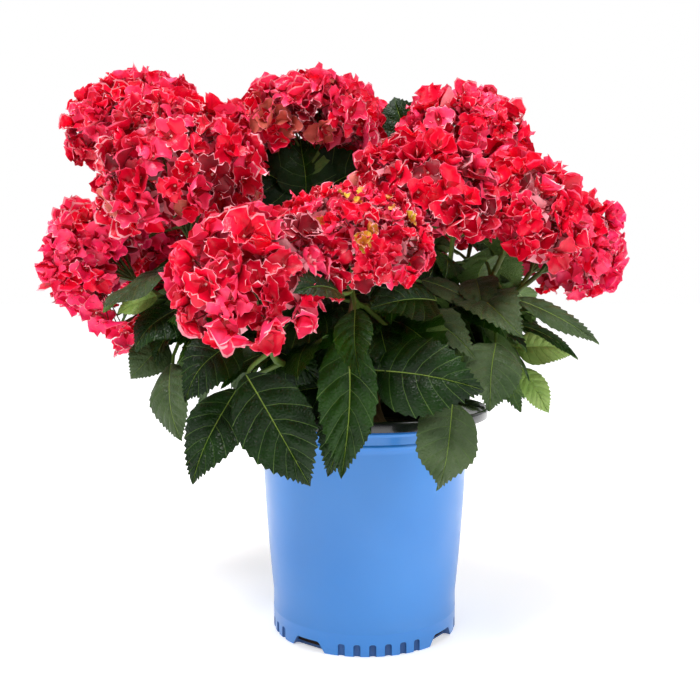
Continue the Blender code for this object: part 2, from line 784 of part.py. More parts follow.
def bloom_florets(name, taken):
    """The florets of a bloom that have room, set by the golden angle from its crown down."""
    _, radius, rise, _, _, _ = BLOOMS[name]
    owner = "bloom_" + name
    top = math.tau * radius * (0.5 * (radius + rise)) * (1.0 - math.cos(FLORET_LIMIT))
    count = round(top / FLORET_AREA)
    solids = []
    for index in range(count):
        slope = math.acos(1.0 - (1.0 - math.cos(FLORET_LIMIT)) * (index + 0.5) / count)
        turn = index * GOLDEN_ANGLE
        seed = "floret %s %d" % (name, index)
        probe = floret_solid(name, slope, turn, random.Random(seed), FLORET_CLEARANCE)
        places = [vertex.co.copy() for vertex in probe.data.vertices]
        free = all(own_space(name, place) for place in places) and is_clear(tree_of(probe), taken, owner)
        discard(probe)
        if free:
            solids.append(floret_solid(name, slope, turn, random.Random(seed)))
    return solids


def peduncle(name):
    """The stalk under a bloom, from just clear of its twig up into its heart."""
    axis = bloom_axis(name)
    foot = bloom_foot(name) + axis * GAP
    return tube([foot, Vector(BLOOMS[name][0])], TWIG_TIP_RADIUS, TWIG_TIP_RADIUS, 0)


# Fusing


def largest_shell(bm):
    """Keeps the mesh's largest closed shell, so that sealed hollows fill and loose scraps go."""
    left = set(bm.faces)
    shells = []
    while left:
        shell, edge_of_shell = set(), [left.pop()]
        while edge_of_shell:
            face = edge_of_shell.pop()
            shell.add(face)
            for edge in face.edges:
                for other in edge.link_faces:
                    if other in left:
                        left.remove(other)
                        edge_of_shell.append(other)
        shells.append(shell)

    def volume(shell):
        return sum(
            face.verts[0].co.dot(face.verts[1].co.cross(face.verts[2].co)) / 6.0 for face in shell
        )

    keep = max(shells, key=volume)
    drop = [face for shell in shells if shell is not keep for face in shell]
    bmesh.ops.delete(bm, geom=drop, context="FACES")


def fuse(name, pieces, parts, material):
    """One closed node from overlapping pieces, by a single union."""
    first, others = pieces[0], pieces[1:]
    bunch = new_collection(name + "_pieces")
    bpy.context.scene.collection.objects.link(first)
    for piece in others:
        bunch.objects.link(piece)
    union = first.modifiers.new("Union", "BOOLEAN")
    union.operation = "UNION"
    union.operand_type = "COLLECTION"
    union.collection = bunch
    union.solver = "MANIFOLD"
    mesh = evaluated_mesh(first)
    for piece in pieces:
        discard(piece)
    bpy.data.collections.remove(bunch)
    bm = bmesh.new()
    bm.from_mesh(mesh)
    bpy.data.meshes.remove(mesh)
    bmesh.ops.dissolve_limit(bm, angle_limit=FLAT_ANGLE, verts=bm.verts, edges=bm.edges)
    bmesh.ops.triangulate(bm, faces=bm.faces)
    largest_shell(bm)
    node = object_from(bm, name)
    node.data.materials.clear()
    node.data.materials.append(material)
    parts.objects.link(node)
    return node


def make_plant(parts, taken):
    """Boughs first, then the shoots' limbs, the blooms, and last the leaves that have room."""
    wood, green, red = (new_material(name) for name in ("stem", "leaf", "bloom"))
    for name in SHOOTS:
        make_bough(name, parts, taken, wood)
    shoots = {name: shoot_limbs(name) for name in SHOOTS}
    for name, pieces in shoots.items():
        taken["leaves_" + name] = [tree_of(piece) for piece in pieces]
    blooms = {name: [bloom_core(name), peduncle(name)] for name in BLOOMS}
    for name, pieces in blooms.items():
        taken["bloom_" + name] = [tree_of(piece) for piece in pieces]
    for name, pieces in blooms.items():
        florets = bloom_florets(name, taken)
        taken["bloom_" + name] += [tree_of(floret) for floret in florets]
        pieces += florets
    add_leaves(shoots, taken)
    for name, pieces in shoots.items():
        fuse("leaves_" + name, pieces, parts, green)
    for name, pieces in blooms.items():
        fuse("bloom_" + name, pieces, parts, red)


def main():
    """Builds the pot and everything that grows in it."""
    clear_scene()
    parts = new_collection(PLANT_NAME)
    cutters = new_collection("cutters")
    pot = make_pot(parts, cutters)
    solids = [pot, make_soil(parts), make_main_stem(parts)]
    taken = {solid.name: [tree_of(solid)] for solid in solids}
    make_plant(parts, taken)


main()
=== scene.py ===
"""A potted mophead hydrangea, dressed: its pot, soil, wood, leafy shoots and flower heads.

Sizes are metres and +Z is up. The picture is taken from -Y.
"""

import logging
import math
import random
import zlib
from collections.abc import Iterator, Sequence
from dataclasses import dataclass, field
from enum import Enum

import bpy
import numpy as np
from mathutils import Matrix, Vector, noise
from mathutils.kdtree import KDTree

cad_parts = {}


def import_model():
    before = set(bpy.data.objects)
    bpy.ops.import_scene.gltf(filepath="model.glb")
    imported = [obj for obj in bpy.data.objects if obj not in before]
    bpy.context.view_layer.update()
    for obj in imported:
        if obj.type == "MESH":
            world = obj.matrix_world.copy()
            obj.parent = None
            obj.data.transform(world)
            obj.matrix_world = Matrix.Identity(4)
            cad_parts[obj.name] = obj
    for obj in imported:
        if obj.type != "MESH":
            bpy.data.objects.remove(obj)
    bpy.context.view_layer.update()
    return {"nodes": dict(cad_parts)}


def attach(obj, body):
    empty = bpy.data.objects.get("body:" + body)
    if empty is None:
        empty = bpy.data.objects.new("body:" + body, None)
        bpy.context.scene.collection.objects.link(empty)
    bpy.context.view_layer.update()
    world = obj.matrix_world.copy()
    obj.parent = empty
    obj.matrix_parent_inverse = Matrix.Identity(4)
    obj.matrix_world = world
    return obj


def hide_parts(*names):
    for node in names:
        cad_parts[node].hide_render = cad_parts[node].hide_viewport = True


LOG = logging.getLogger("hydrangea")
BODY = "root"
UP = Vector((0.0, 0.0, 1.0))
GAP = 0.0003
GOLDEN_ANGLE = math.pi * (3.0 - math.sqrt(5.0))
SHARP_ANGLE = math.radians(80.0)

Colour = tuple[float, float, float]
Profile = Sequence[tuple[float, float]]
LeafSlot = tuple[list[Vector], float, float, float, float]


def shade(red: int, green: int, blue: int) -> Colour:
    """The linear colour of a shade that is given as it looks on a screen, 0 to 255."""
    return tuple((part / 255.0) ** 2.2 for part in (red, green, blue))


def seeded(name: str) -> np.random.Generator:
    """Dice that fall the same way for a name on every run."""
    return np.random.default_rng(zlib.crc32(name.encode()))


# Finishes


@dataclass(frozen=True)
class Finish:
    """A surface that drifts between two close shades, with a fine relief.

    Its patches, its grain and the cells of its net are counted per metre, and its relief is in metres.
    """

    name: str
    colour: Colour
    drift: Colour
    roughness: float
    patches: float = 70.0
    grain: float = 700.0
    relief: float = 0.0002
    specular: float = 0.5
    sheen: float = 0.0
    coat: float = 0.0
    stretch: float = 1.0
    net: float = 0.0
    drift_from: float = 0.32
    drift_to: float = 0.68
    gloss_drift: float = 0.10
    net_width: float = 0.3
    net_grain: float = 0.3

    def material(self) -> bpy.types.Material:
        """The finish as a node material, made once.

        Returns:
            The material of this name.
        """
        found = bpy.data.materials.get(self.name)
        if found:
            return found
        material = bpy.data.materials.new(self.name)
        material.use_nodes = True
        tree = material.node_tree
        shader = tree.nodes["Principled BSDF"]
        shader.inputs["Specular IOR Level"].default_value = self.specular
        shader.inputs["Sheen Weight"].default_value = self.sheen
        shader.inputs["Coat Weight"].default_value = self.coat
        place = tree.nodes.new("ShaderNodeTexCoord")
        mapping = tree.nodes.new("ShaderNodeMapping")
        mapping.inputs["Scale"].default_value = (1.0, 1.0, self.stretch)
        tree.links.new(place.outputs["Object"], mapping.inputs["Vector"])
        patches = self.noise_on(tree, mapping, self.patches)
        ramp = tree.nodes.new("ShaderNodeValToRGB")
        ramp.color_ramp.elements[0].position = self.drift_from
        ramp.color_ramp.elements[0].color = (*self.colour, 1.0)
        ramp.color_ramp.elements[1].position = self.drift_to
        ramp.color_ramp.elements[1].color = (*self.drift, 1.0)
        tree.links.new(patches.outputs["Fac"], ramp.inputs["Fac"])
        tree.links.new(ramp.outputs["Color"], shader.inputs["Base Color"])
        grain = self.noise_on(tree, mapping, self.grain)
        spread = tree.nodes.new("ShaderNodeMapRange")
        spread.inputs["To Min"].default_value = max(0.05, self.roughness - self.gloss_drift)
        spread.inputs["To Max"].default_value = min(1.0, self.roughness + self.gloss_drift)
        tree.links.new(grain.outputs["Fac"], spread.inputs["Value"])
        tree.links.new(spread.outputs["Result"], shader.inputs["Roughness"])
        bump = tree.nodes.new("ShaderNodeBump")
        bump.inputs["Distance"].default_value = self.relief
        height = self.netted(tree, mapping, grain) if self.net else grain.outputs["Fac"]
        tree.links.new(height, bump.inputs["Height"])
        tree.links.new(bump.outputs["Normal"], shader.inputs["Normal"])
        return material

    def netted(
        self,
        tree: bpy.types.NodeTree,
        mapping: bpy.types.Node,
        grain: bpy.types.Node,
    ) -> bpy.types.NodeSocket:
        """Adds a net of fine sunk veins to the grain.

        Args:
            tree: the material's nodes.
            mapping: the node that gives the place.
            grain: the grain's noise node.

        Returns:
            The height of the relief.
        """
        cells = tree.nodes.new("ShaderNodeTexVoronoi")
        cells.feature = "DISTANCE_TO_EDGE"
        cells.inputs["Scale"].default_value = self.net
        tree.links.new(mapping.outputs["Vector"], cells.inputs["Vector"])
        dome = tree.nodes.new("ShaderNodeMapRange")
        dome.inputs["From Max"].default_value = self.net_width
        tree.links.new(cells.outputs["Distance"], dome.inputs["Value"])
        both = tree.nodes.new("ShaderNodeMath")
        both.operation = "MULTIPLY_ADD"
        both.inputs[1].default_value = self.net_grain
        tree.links.new(grain.outputs["Fac"], both.inputs[0])
        tree.links.new(dome.outputs["Result"], both.inputs[2])
        return both.outputs["Value"]

    @staticmethod
    def noise_on(tree: bpy.types.NodeTree, mapping: bpy.types.Node, scale: float) -> bpy.types.Node:
        """Adds a noise to a material.

        Args:
            tree: the material's nodes.
            mapping: the node that gives the place.
            scale: how many bumps fit in a metre.

        Returns:
            The noise node.
        """
        texture = tree.nodes.new("ShaderNodeTexNoise")
        texture.inputs["Scale"].default_value = scale
        texture.inputs["Detail"].default_value = 3.0
        tree.links.new(mapping.outputs["Vector"], texture.inputs["Vector"])
        return texture


POT_BLUE = Finish(
    "pot_blue_gloss", shade(42, 124, 206), shade(52, 132, 212), 0.34, 7.0, 40.0, 0.00003, coat=0.25
)
# The flutes and drain notches are a darker, duller blue: the darker colour is painted shade in the
# recesses.
POT_RECESS_PAINTED_SHADE = Finish("pot_blue_recess_painted_shade", shade(46, 98, 164), shade(36, 80, 136), 0.50, 9.0, 40.0, 0.00003)
POT_BLACK = Finish(
    "pot_black_gloss", shade(14, 15, 18), shade(24, 25, 28), 0.24, 12.0, 60.0, 0.00005, coat=0.5
)
SOIL = Finish("potting_mix", shade(46, 34, 26), shade(22, 16, 12), 0.92, 160.0, 900.0, 0.0012, 0.2)
BARK_CHIP = Finish("bark_chip", shade(92, 64, 42), shade(54, 36, 24), 0.90, 90.0, 700.0, 0.0008, 0.2)
OLD_BARK = Finish(
    "old_bark", shade(128, 100, 70), shade(74, 56, 38), 0.85, 120.0, 500.0, 0.0010, 0.25, stretch=0.3
)
TWIG_GREEN = Finish("twig_green", shade(98, 120, 48), shade(70, 92, 36), 0.50, 60.0, 500.0, 0.0003, 0.4)
TWIG_BROWN = Finish("twig_brown", shade(104, 78, 50), shade(72, 60, 36), 0.60, 90.0, 500.0, 0.0004, 0.4)


def leaf_finish(name: str, colour: Colour, drift: Colour, sheen: float = 0.0) -> Finish:
    """A leaf's upper face, with its net of fine sunk veins."""
    return Finish(name, colour, drift, 0.40, 38.0, 900.0, 0.0003, 0.20, sheen, net=330.0)


class LeafTint(Enum):
    """The greens that leaves are dealt."""

    DEEP = leaf_finish("leaf_deep", shade(24, 50, 8), shade(13, 32, 4))
    GREEN = leaf_finish("leaf_green", shade(38, 70, 14), shade(24, 48, 9))
    # A greyer green for leaves that catch the light at a slant: painted sheen.
    GREY = leaf_finish("leaf_grey_painted_sheen", shade(74, 90, 58), shade(48, 66, 36), 0.05)
    YOUNG = leaf_finish("leaf_young", shade(138, 162, 88), shade(110, 140, 64))


LEAF_VEIN = Finish("leaf_vein", shade(78, 104, 40), shade(56, 84, 30), 0.50, 60.0, 800.0, 0.0002, 0.4)
LEAF_RIB = Finish("leaf_rib", shade(146, 168, 78), shade(122, 148, 60), 0.45, 60.0, 800.0, 0.0002, 0.4)
LEAF_BACK = Finish(
    "leaf_back", shade(96, 122, 62), shade(70, 96, 42), 0.62, 50.0, 900.0, 0.0005, 0.25, net=330.0
)


def petal_finish(name: str, colour: Colour, drift: Colour, roughness: float = 0.33) -> Finish:
    """A petal's satin face."""
    return Finish(name, colour, drift, roughness, 110.0, 900.0, 0.0002, 0.32, 0.02)


class Petal(Enum):
    """The reds that florets are dealt."""

    SCARLET = petal_finish("petal_scarlet", shade(250, 18, 64), shade(238, 10, 54))
    CRIMSON = petal_finish("petal_crimson", shade(226, 8, 54), shade(196, 5, 44))
    ROSE = petal_finish("petal_rose", shade(254, 72, 116), shade(250, 42, 92))
    MAGENTA = petal_finish("petal_magenta", shade(252, 52, 112), shade(248, 34, 92))
    MAROON = petal_finish("petal_maroon", shade(160, 8, 38), shade(118, 6, 30), 0.50)
    FADED = petal_finish("petal_faded", shade(216, 104, 92), shade(166, 76, 58), 0.50)
    UNRIPE = petal_finish("petal_unripe", shade(204, 190, 48), shade(224, 96, 60), 0.55)


class PetalPart(Enum):
    """The parts of a floret that are given shades of their own: a darker base, which is painted shade where
    the sepals meet; paler lips, partly the sepals' own paler margins and partly painted highlight; and the
    eye.
    """

    # A darker red where the sepals meet at the floret's middle: painted shade.
    BASE = petal_finish("petal_base_painted_shade", shade(196, 6, 38), shade(160, 4, 30))
    # Paler lips: partly the sepals' own paler margins, partly painted highlight.
    ROSY_LIP = petal_finish("petal_rosy_lip_and_highlight", shade(252, 104, 134), shade(250, 66, 104), 0.34)
    PALE_LIP = petal_finish("petal_pale_lip_and_highlight", shade(255, 190, 196), shade(252, 146, 164), 0.34)
    EYE = petal_finish("floret_eye", shade(246, 196, 186), shade(236, 150, 146))


# The finishes of a head's florets, in the order of their numbers.

FLORET_FINISHES = (*Petal, *PetalPart)

STALK_ROSE = Finish("stalk_rose", shade(120, 54, 54), shade(96, 66, 44), 0.55, 60.0, 700.0, 0.0002, 0.3)
STALK_GREEN = Finish("stalk_green", shade(84, 98, 42), shade(66, 78, 36), 0.55, 60.0, 700.0, 0.0002, 0.3)


# Making meshes


def deselect() -> None:
    """Leaves nothing selected."""
    bpy.ops.object.select_all(action="DESELECT")


def settle(piece: bpy.types.Object, slot: str, *nodes: str) -> None:
    """Puts a finished piece on the plant in place of solids of the frame.

    Args:
        piece: the finished piece, at the origin.
        slot: the record's material slot; not used.
        nodes: the solids that it stands for.
    """
    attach(piece, BODY)
    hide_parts(*nodes)
    piece.data.calc_loop_triangles()
    LOG.info("%s: %d triangles, for %s", piece.name, len(piece.data.loop_triangles), ", ".join(nodes))


@dataclass
class Pile:
    """Many small triangle meshes, gathered into one piece."""

    points: list[np.ndarray] = field(default_factory=list)
    faces: list[np.ndarray] = field(default_factory=list)
    slots: list[np.ndarray] = field(default_factory=list)
    size: int = 0

    def add(self, points: np.ndarray, faces: np.ndarray, slots: np.ndarray | int) -> None:
        """Adds one small mesh, or several at once.

        Args:
            points: places, (count, 3).
            faces: point numbers of each triangle, (count, 3).
            slots: the finish number of each triangle, or one for all.
        """
        self.points.append(points.reshape(-1, 3))
        self.faces.append(faces + self.size)
        self.slots.append(np.broadcast_to(slots, len(faces)))
        self.size += len(self.points[-1])

    def build(self, name: str, finishes: Sequence[Finish]) -> bpy.types.Object:
        """Makes the gathered piece.

        Args:
            name: the piece's name.
            finishes: its finishes, in the order of their numbers.

        Returns:
            The piece, smooth shaded.
        """
        points = np.concatenate(self.points)
        faces = np.concatenate(self.faces)
        mesh = bpy.data.meshes.new(name)
        mesh.vertices.add(len(points))
        mesh.vertices.foreach_set("co", points.astype(np.float32).ravel())
        mesh.loops.add(faces.size)
        mesh.loops.foreach_set("vertex_index", faces.astype(np.int32).ravel())
        mesh.polygons.add(len(faces))
        mesh.polygons.foreach_set("loop_start", np.arange(0, faces.size, 3, dtype=np.int32))
        mesh.polygons.foreach_set("material_index", np.concatenate(self.slots).astype(np.int32))
        mesh.update(calc_edges=True)
        mesh.validate()
        mesh.shade_smooth()
        mesh.set_sharp_from_angle(angle=SHARP_ANGLE)
        for finish in finishes:
            mesh.materials.append(finish.material())
        piece = bpy.data.objects.new(name, mesh)
        bpy.context.scene.collection.objects.link(piece)
        return piece


def grid_triangles(numbers: np.ndarray) -> tuple[np.ndarray, np.ndarray, np.ndarray]:
    """The triangles of a grid of point numbers, without those that are pinched to a line.

    Args:
        numbers: the point number at each row and column.

    Returns:
        The triangles, and the row strip and the column strip that each lies in.
    """
    near, beside = numbers[:-1, :-1], numbers[:-1, 1:]
    over, after = numbers[1:, 1:], numbers[1:, :-1]
    faces = np.concatenate([np.stack([near, beside, over], -1), np.stack([near, over, after], -1)])
    strips = np.indices(near.shape)
    row_strip, column_strip = (np.concatenate([strip, strip]).ravel() for strip in strips)
    faces = faces.reshape(-1, 3)
    whole = (faces[:, 0] != faces[:, 1]) & (faces[:, 1] != faces[:, 2]) & (faces[:, 2] != faces[:, 0])
    return faces[whole], row_strip[whole], column_strip[whole]


def pinched(rows: int, columns: int) -> np.ndarray:
    """Point numbers of a grid whose first and last rows are one point each.

    Args:
        rows: how many rows it has.
        columns: how many columns it has.

    Returns:
        The numbers, (rows, columns).
    """
    numbers = np.zeros((rows, columns), int)
    numbers[1:-1] = 1 + np.arange((rows - 2) * columns).reshape(rows - 2, columns)
    numbers[-1] = 1 + (rows - 2) * columns
    return numbers


def pinched_points(grid: np.ndarray) -> np.ndarray:
    """The points of a grid in the order of its pinched numbers.

    Args:
        grid: places, (..., rows, columns, 3).

    Returns:
        The places as (..., points, 3), with one point for the first row and one for the last.
    """
    middle = grid.shape[-2] // 2
    inner = grid[..., 1:-1, :, :]
    flat = inner.reshape(*grid.shape[:-3], -1, 3)
    ends = grid[..., 0, middle, :][..., None, :], grid[..., -1, middle, :][..., None, :]
    return np.concatenate([ends[0], flat, ends[1]], -2)


def tube(line: np.ndarray, radii: np.ndarray, sides: int) -> tuple[np.ndarray, np.ndarray]:
    """A limb round a line, with both ends closed.

    Args:
        line: the points along its middle, (count, 3).
        radii: its radius at each of them, or at each of them and each side.
        sides: how many sides it has.

    Returns:
        Its points and its triangles.
    """
    ways = np.gradient(line, axis=0)
    ways /= np.linalg.norm(ways, axis=1, keepdims=True)
    side = np.cross(ways[0], (0.3, 0.5, 0.8) if abs(ways[0][0]) > 0.9 else (1.0, 0.0, 0.0))
    turns = np.linspace(0.0, math.tau, sides, endpoint=False)
    rings = []
    spread = np.broadcast_to(np.asarray(radii).reshape(len(line), -1), (len(line), sides))
    for middle, way, radius in zip(line, ways, spread):
        side = side - way * side.dot(way)
        side /= np.linalg.norm(side)
        other = np.cross(way, side)
        outward = np.cos(turns)[:, None] * side + np.sin(turns)[:, None] * other
        rings.append(middle + radius[:, None] * outward)
    ring = np.arange(sides)
    numbers = 1 + np.arange(len(line) * sides).reshape(len(line), sides)
    numbers = np.concatenate([numbers, numbers[:, :1]], 1)
    faces, _, _ = grid_triangles(numbers)
    last = 1 + len(line) * sides
    first_cap = np.stack([np.zeros(sides, int), 1 + (ring + 1) % sides, 1 + ring], -1)
    last_cap = np.stack([np.full(sides, last), last - sides + ring, last - sides + (ring + 1) % sides], -1)
    points = np.concatenate([line[:1], np.concatenate(rings), line[-1:]])
    return points, np.concatenate([faces, first_cap, last_cap])


def turned(name: str, profile: Profile, sides: int) -> bpy.types.Object:
    """A closed body of revolution, drawn from a disc by extruding and scaling it along a profile.

    Args:
        name: the object's name.
        profile: (radius, height) points from its underside's edge to its last face's edge.
        sides: how many sides it has.

    Returns:
        The object, selected and active, with its faces pointing out.
    """
    deselect()
    radius, height = profile[0]
    bpy.ops.mesh.primitive_circle_add(
        vertices=sides,
        radius=radius,
        fill_type="NGON",
        location=(0.0, 0.0, height),
    )
    piece = bpy.context.active_object
    piece.name = name
    bpy.ops.object.transform_apply(location=True)
    bpy.ops.object.mode_set(mode="EDIT")
    bpy.ops.mesh.select_all(action="SELECT")
    for next_radius, next_height in profile[1:]:
        move = {"value": (0.0, 0.0, next_height - height)}
        bpy.ops.mesh.extrude_region_move(TRANSFORM_OT_translate=move)
        scale = next_radius / radius
        bpy.ops.transform.resize(value=(scale, scale, 1.0), center_override=(0.0, 0.0, next_height))
        radius, height = next_radius, next_height
    bpy.ops.mesh.select_all(action="SELECT")
    bpy.ops.mesh.normals_make_consistent(inside=False)
    bpy.ops.object.mode_set(mode="OBJECT")
    return piece


# Rules that the plant grows by


def direction(bearing: float, rise: float) -> Vector:
    """The unit vector at a bearing from +X and an angle above level, in degrees.

    Args:
        bearing: the turn from +X.
        rise: the angle above level.

    Returns:
        The vector.
    """
    flat = math.cos(math.radians(rise))
    return Vector((
        flat * math.cos(math.radians(bearing)),
        flat * math.sin(math.radians(bearing)),
        math.sin(math.radians(rise)),
    ))


def across(vector: Vector, axis: Vector) -> Vector:
    """The part of a vector that is square to an axis, at unit length."""
    axis = axis.normalized()
    return (vector - axis * vector.dot(axis)).normalized()


@dataclass(frozen=True)
class Bend:
    """A limb's course from one place to another, along a given way at each end."""

    start: Vector
    start_way: Vector
    end: Vector
    end_way: Vector
    pull: float = 0.38
    lead: float = 0.003
    rough_steps: int = 4

    def place(self, t: float) -> Vector:
        """The place at a share of the course.

        Args:
            t: the share, from 0 at its start to 1 at its end.

        Returns:
            The place.
        """
        length = (self.end - self.start).length
        near = self.start + self.start_way * (self.pull * length)
        far = self.end - self.end_way * (self.pull * length)
        u = 1.0 - t
        return self.start * u**3 + near * (3 * u * u * t) + far * (3 * u * t * t) + self.end * t**3

    def rough(self) -> list[Vector]:
        """The few points of the frame's own limb, which its leaves are set out on.

        Returns:
            The points, from its start to its end.
        """
        inner = [self.place(step / self.rough_steps) for step in range(1, self.rough_steps)]
        first = [self.start, self.start + self.start_way * self.lead]
        return first + inner + [self.end - self.end_way * self.lead, self.end]

    def fine(self, steps: int) -> np.ndarray:
        """The same course in many small steps."""
        return np.array([self.place(step / steps) for step in range(steps + 1)])


def nearest_on(line: Sequence[Vector], place: Vector) -> Vector:
    """The point of a line that lies nearest to a place.

    Args:
        line: the line's points.
        place: the place.

    Returns:
        The nearest point of all its stretches.
    """
    best, best_distance = None, math.inf
    for start, end in zip(line, line[1:]):
        span = end - start
        share = min(1.0, max(0.0, (place - start).dot(span) / span.length_squared))
        point = start + span * share
        if (place - point).length < best_distance:
            best, best_distance = point, (place - point).length
    return best


# Pot, soil and trunk


@dataclass
class Pot:
    """The tapered plastic pot: a blue shell, and a black lining that ends in a flared rim."""

    sides: int = 160
    floor: float = 0.004
    wall: float = 0.002
    shell_wall: float = 0.0011
    foot_radius: float = 0.0878
    foot_height: float = 0.020
    foot_step: float = 0.0016
    body_radius: float = 0.098
    body_height: float = 0.187
    bulge: float = 0.0015
    rim_radius: float = 0.117
    rim_bottom: float = 0.2025
    rim_top: float = 0.212
    rim_wall: float = 0.003
    notch_first: float = math.radians(-36.5)
    notch_count: int = 4
    notch_width: float = 0.037
    notch_top_width: float = 0.024
    notch_height: float = 0.010
    notch_depth: float = 0.009
    notch_bevel: float = 0.0022
    flutes: int = 6
    flute_step: float = math.radians(9.1)
    flute_width: float = 0.0062
    flute_depth: float = 0.0026
    flute_height: float = 0.0112
    flute_round: float = 0.36
    bevel_steps: int = 4
    smooth_angle: float = math.radians(40.0)

    def radius_at(self, height: float) -> float:
        """The outer radius at a height of the tapered body, which swells a little between its ends.

        Args:
            height: the height above the ground.

        Returns:
            The radius.
        """
        bottom = self.foot_radius - self.foot_step
        share = (height - self.foot_height) / (self.body_height - self.foot_height)
        bulge = self.bulge * math.sin(math.pi * min(1.0, max(0.0, share)))
        return bottom + (self.body_radius - bottom) * share + bulge

    def wall_at(self, height: float) -> float:
        """The radius of the inner wall at a height, which doesn't swell.

        Args:
            height: the height above the ground.

        Returns:
            The radius.
        """
        bottom = self.foot_radius - self.foot_step
        share = (height - self.foot_height) / (self.body_height - self.foot_height)
        return bottom + (self.body_radius - bottom) * share - self.wall

    def bead(self, height: float, half: float, proud: float) -> list[tuple[float, float]]:
        """The section of a rounded ring that stands out of the wall.

        Args:
            height: the height of its middle.
            half: half its height.
            proud: how far it stands out.

        Returns:
            Its (radius, height) points, upward.
        """
        steps = (-1.0, -0.7, -0.35, 0.0, 0.35, 0.7, 1.0)
        return [
            (self.radius_at(height + half * step) + proud * (1.0 - step * step), height + half * step)
            for step in steps
        ]

    def shell_profile(self) -> list[tuple[float, float]]:
        """The blue shell's section, from its underside up the outside and down the inside.

        Returns:
            Its (radius, height) points.
        """
        foot, height = self.foot_radius, self.foot_height
        outside = [(foot - 0.006, 0.0), (foot - 0.0012, 0.0), (foot - 0.0003, 0.0004), (foot, 0.0014)]
        outside += [(foot, 0.0125), (foot, height - 0.0006)]
        outside += [(foot + 0.0002, height), (foot, height + 0.0006)]
        outside += [(self.radius_at(z), z) for z in (0.035, 0.05, 0.06, 0.08, 0.10, 0.12, 0.14, 0.16, 0.18)]
        outside += self.bead(self.body_height, 0.0022, 0.0011)
        outside += [(self.radius_at(0.1905), 0.1905), (self.radius_at(0.1955), 0.1955)]
        outside += self.bead(0.1982, 0.0014, 0.0007)
        outside += [(self.radius_at(0.2005) + 0.0004, 0.2005), (self.radius_at(0.2015) + 0.0012, 0.2015)]
        inside = [(self.wall_at(z) + self.shell_wall, z) for z in (0.2015, 0.15, 0.08, 0.03, 0.0022)]
        return outside + inside

    def lining_profile(self) -> list[tuple[float, float]]:
        """The black lining's section, from under its floor out over the rim to its inner floor.

        Returns:
            Its (radius, height) points.
        """
        gap = self.shell_wall - 0.0001
        outside = [(self.wall_at(z) + gap, z) for z in (0.0024, 0.03, 0.08, 0.15, 0.2018)]
        rim, wall, low, top = self.rim_radius, self.rim_wall, self.rim_bottom, self.rim_top
        outside += [(self.radius_at(low) + 0.002, low - 0.0004)]
        outside += [(rim - 0.004, low - 0.0002), (rim - 0.001, low)]
        outside += [(rim - 0.0002, low + 0.0006), (rim, low + 0.002), (rim, top - 0.0026)]
        outside += [(rim - 0.0003, top - 0.0012), (rim - 0.0009, top - 0.0003), (rim - 0.0016, top)]
        inner = [(rim - 0.0023, top - 0.0003), (rim - wall, top - 0.0014)]
        inner += [(rim - wall - 0.0008, low + 0.0042)]
        inner += [(rim - wall - 0.0024, low + 0.0030), (self.radius_at(low) + 0.003, low + 0.0022)]
        inner += [(self.radius_at(low) + 0.0008, low + 0.0014), (self.wall_at(low), low - 0.001)]
        inner += [(self.wall_at(z), z) for z in (0.15, 0.08, 0.03, self.floor)]
        return outside + inner

    def cutters(self) -> bpy.types.Object:
        """The blocks that cut the drain notches and the flutes, as one object.

        Returns:
            The object, with its place in its mesh.
        """
        deselect()
        made = []
        for turn in range(self.notch_count):
            angle = self.notch_first + turn * math.tau / self.notch_count
            made.append(self.notch_block(angle))
            middle = angle + 0.5 * math.tau / self.notch_count
            for flute in range(self.flutes):
                made.append(self.flute_block(middle + (flute - 0.5 * (self.flutes - 1)) * self.flute_step))
        deselect()
        for block in made:
            block.select_set(True)
        bpy.context.view_layer.objects.active = made[0]
        bpy.ops.object.transform_apply(location=True, rotation=True, scale=True)
        bpy.ops.object.join()
        return bpy.context.active_object

    def notch_block(self, angle: float) -> bpy.types.Object:
        """One notch's block, narrower and rounded at its top.

        Args:
            angle: where on the foot it is, from +X.

        Returns:
            The block.
        """
        reach = 2.0 * self.notch_depth
        middle = self.foot_radius - self.notch_depth + 0.5 * reach
        low_width = 2.0 * self.notch_width - self.notch_top_width
        bpy.ops.mesh.primitive_cube_add(
            size=1.0,
            location=(middle * math.cos(angle), middle * math.sin(angle), 0.0),
            rotation=(0.0, 0.0, angle),
            scale=(reach, low_width, 2.0 * self.notch_height),
        )
        block = bpy.context.active_object
        for vertex in block.data.vertices:
            if vertex.co.z > 0.0:
                vertex.co.y *= self.notch_top_width / low_width
        bpy.ops.object.transform_apply(location=False, rotation=False, scale=True)
        bevel = block.modifiers.new("Corners", "BEVEL")
        bevel.width = self.notch_bevel
        bevel.segments = self.bevel_steps
        bpy.ops.object.modifier_apply(modifier=bevel.name)
        return block

    def flute_block(self, angle: float) -> bpy.types.Object:
        """One flute's cutter: an upright round-topped block that sinks into the foot's outer side.

        Args:
            angle: where on the foot it is, from +X.

        Returns:
            The block.
        """
        middle = self.foot_radius
        bpy.ops.mesh.primitive_cube_add(
            size=1.0,
            location=(middle * math.cos(angle), middle * math.sin(angle), 0.0),
            rotation=(0.0, 0.0, angle),
            scale=(2.0 * self.flute_depth, self.flute_width, 2.0 * self.flute_height),
        )
        block = bpy.context.active_object
        bpy.ops.object.transform_apply(location=False, rotation=False, scale=True)
        bevel = block.modifiers.new("Round", "BEVEL")
        bevel.width = self.flute_round * self.flute_width
        bevel.segments = self.bevel_steps
        bpy.ops.object.modifier_apply(modifier=bevel.name)
        return block

    def cut(self, piece: bpy.types.Object, cutter: bpy.types.Object) -> None:
        """Cuts a part of the pot with the cutters.

        Args:
            piece: the part.
            cutter: the cutters, as one object.
        """
        deselect()
        piece.select_set(True)
        bpy.context.view_layer.objects.active = piece
        cut = piece.modifiers.new("Cuts", "BOOLEAN")
        cut.operation = "DIFFERENCE"
        cut.object = cutter
        # The cut faces take the cutters' darker blue, the painted shade of the recesses.
        cut.material_mode = "TRANSFER"
        bpy.ops.object.modifier_apply(modifier=cut.name)
        bpy.ops.object.shade_smooth_by_angle(angle=self.smooth_angle)

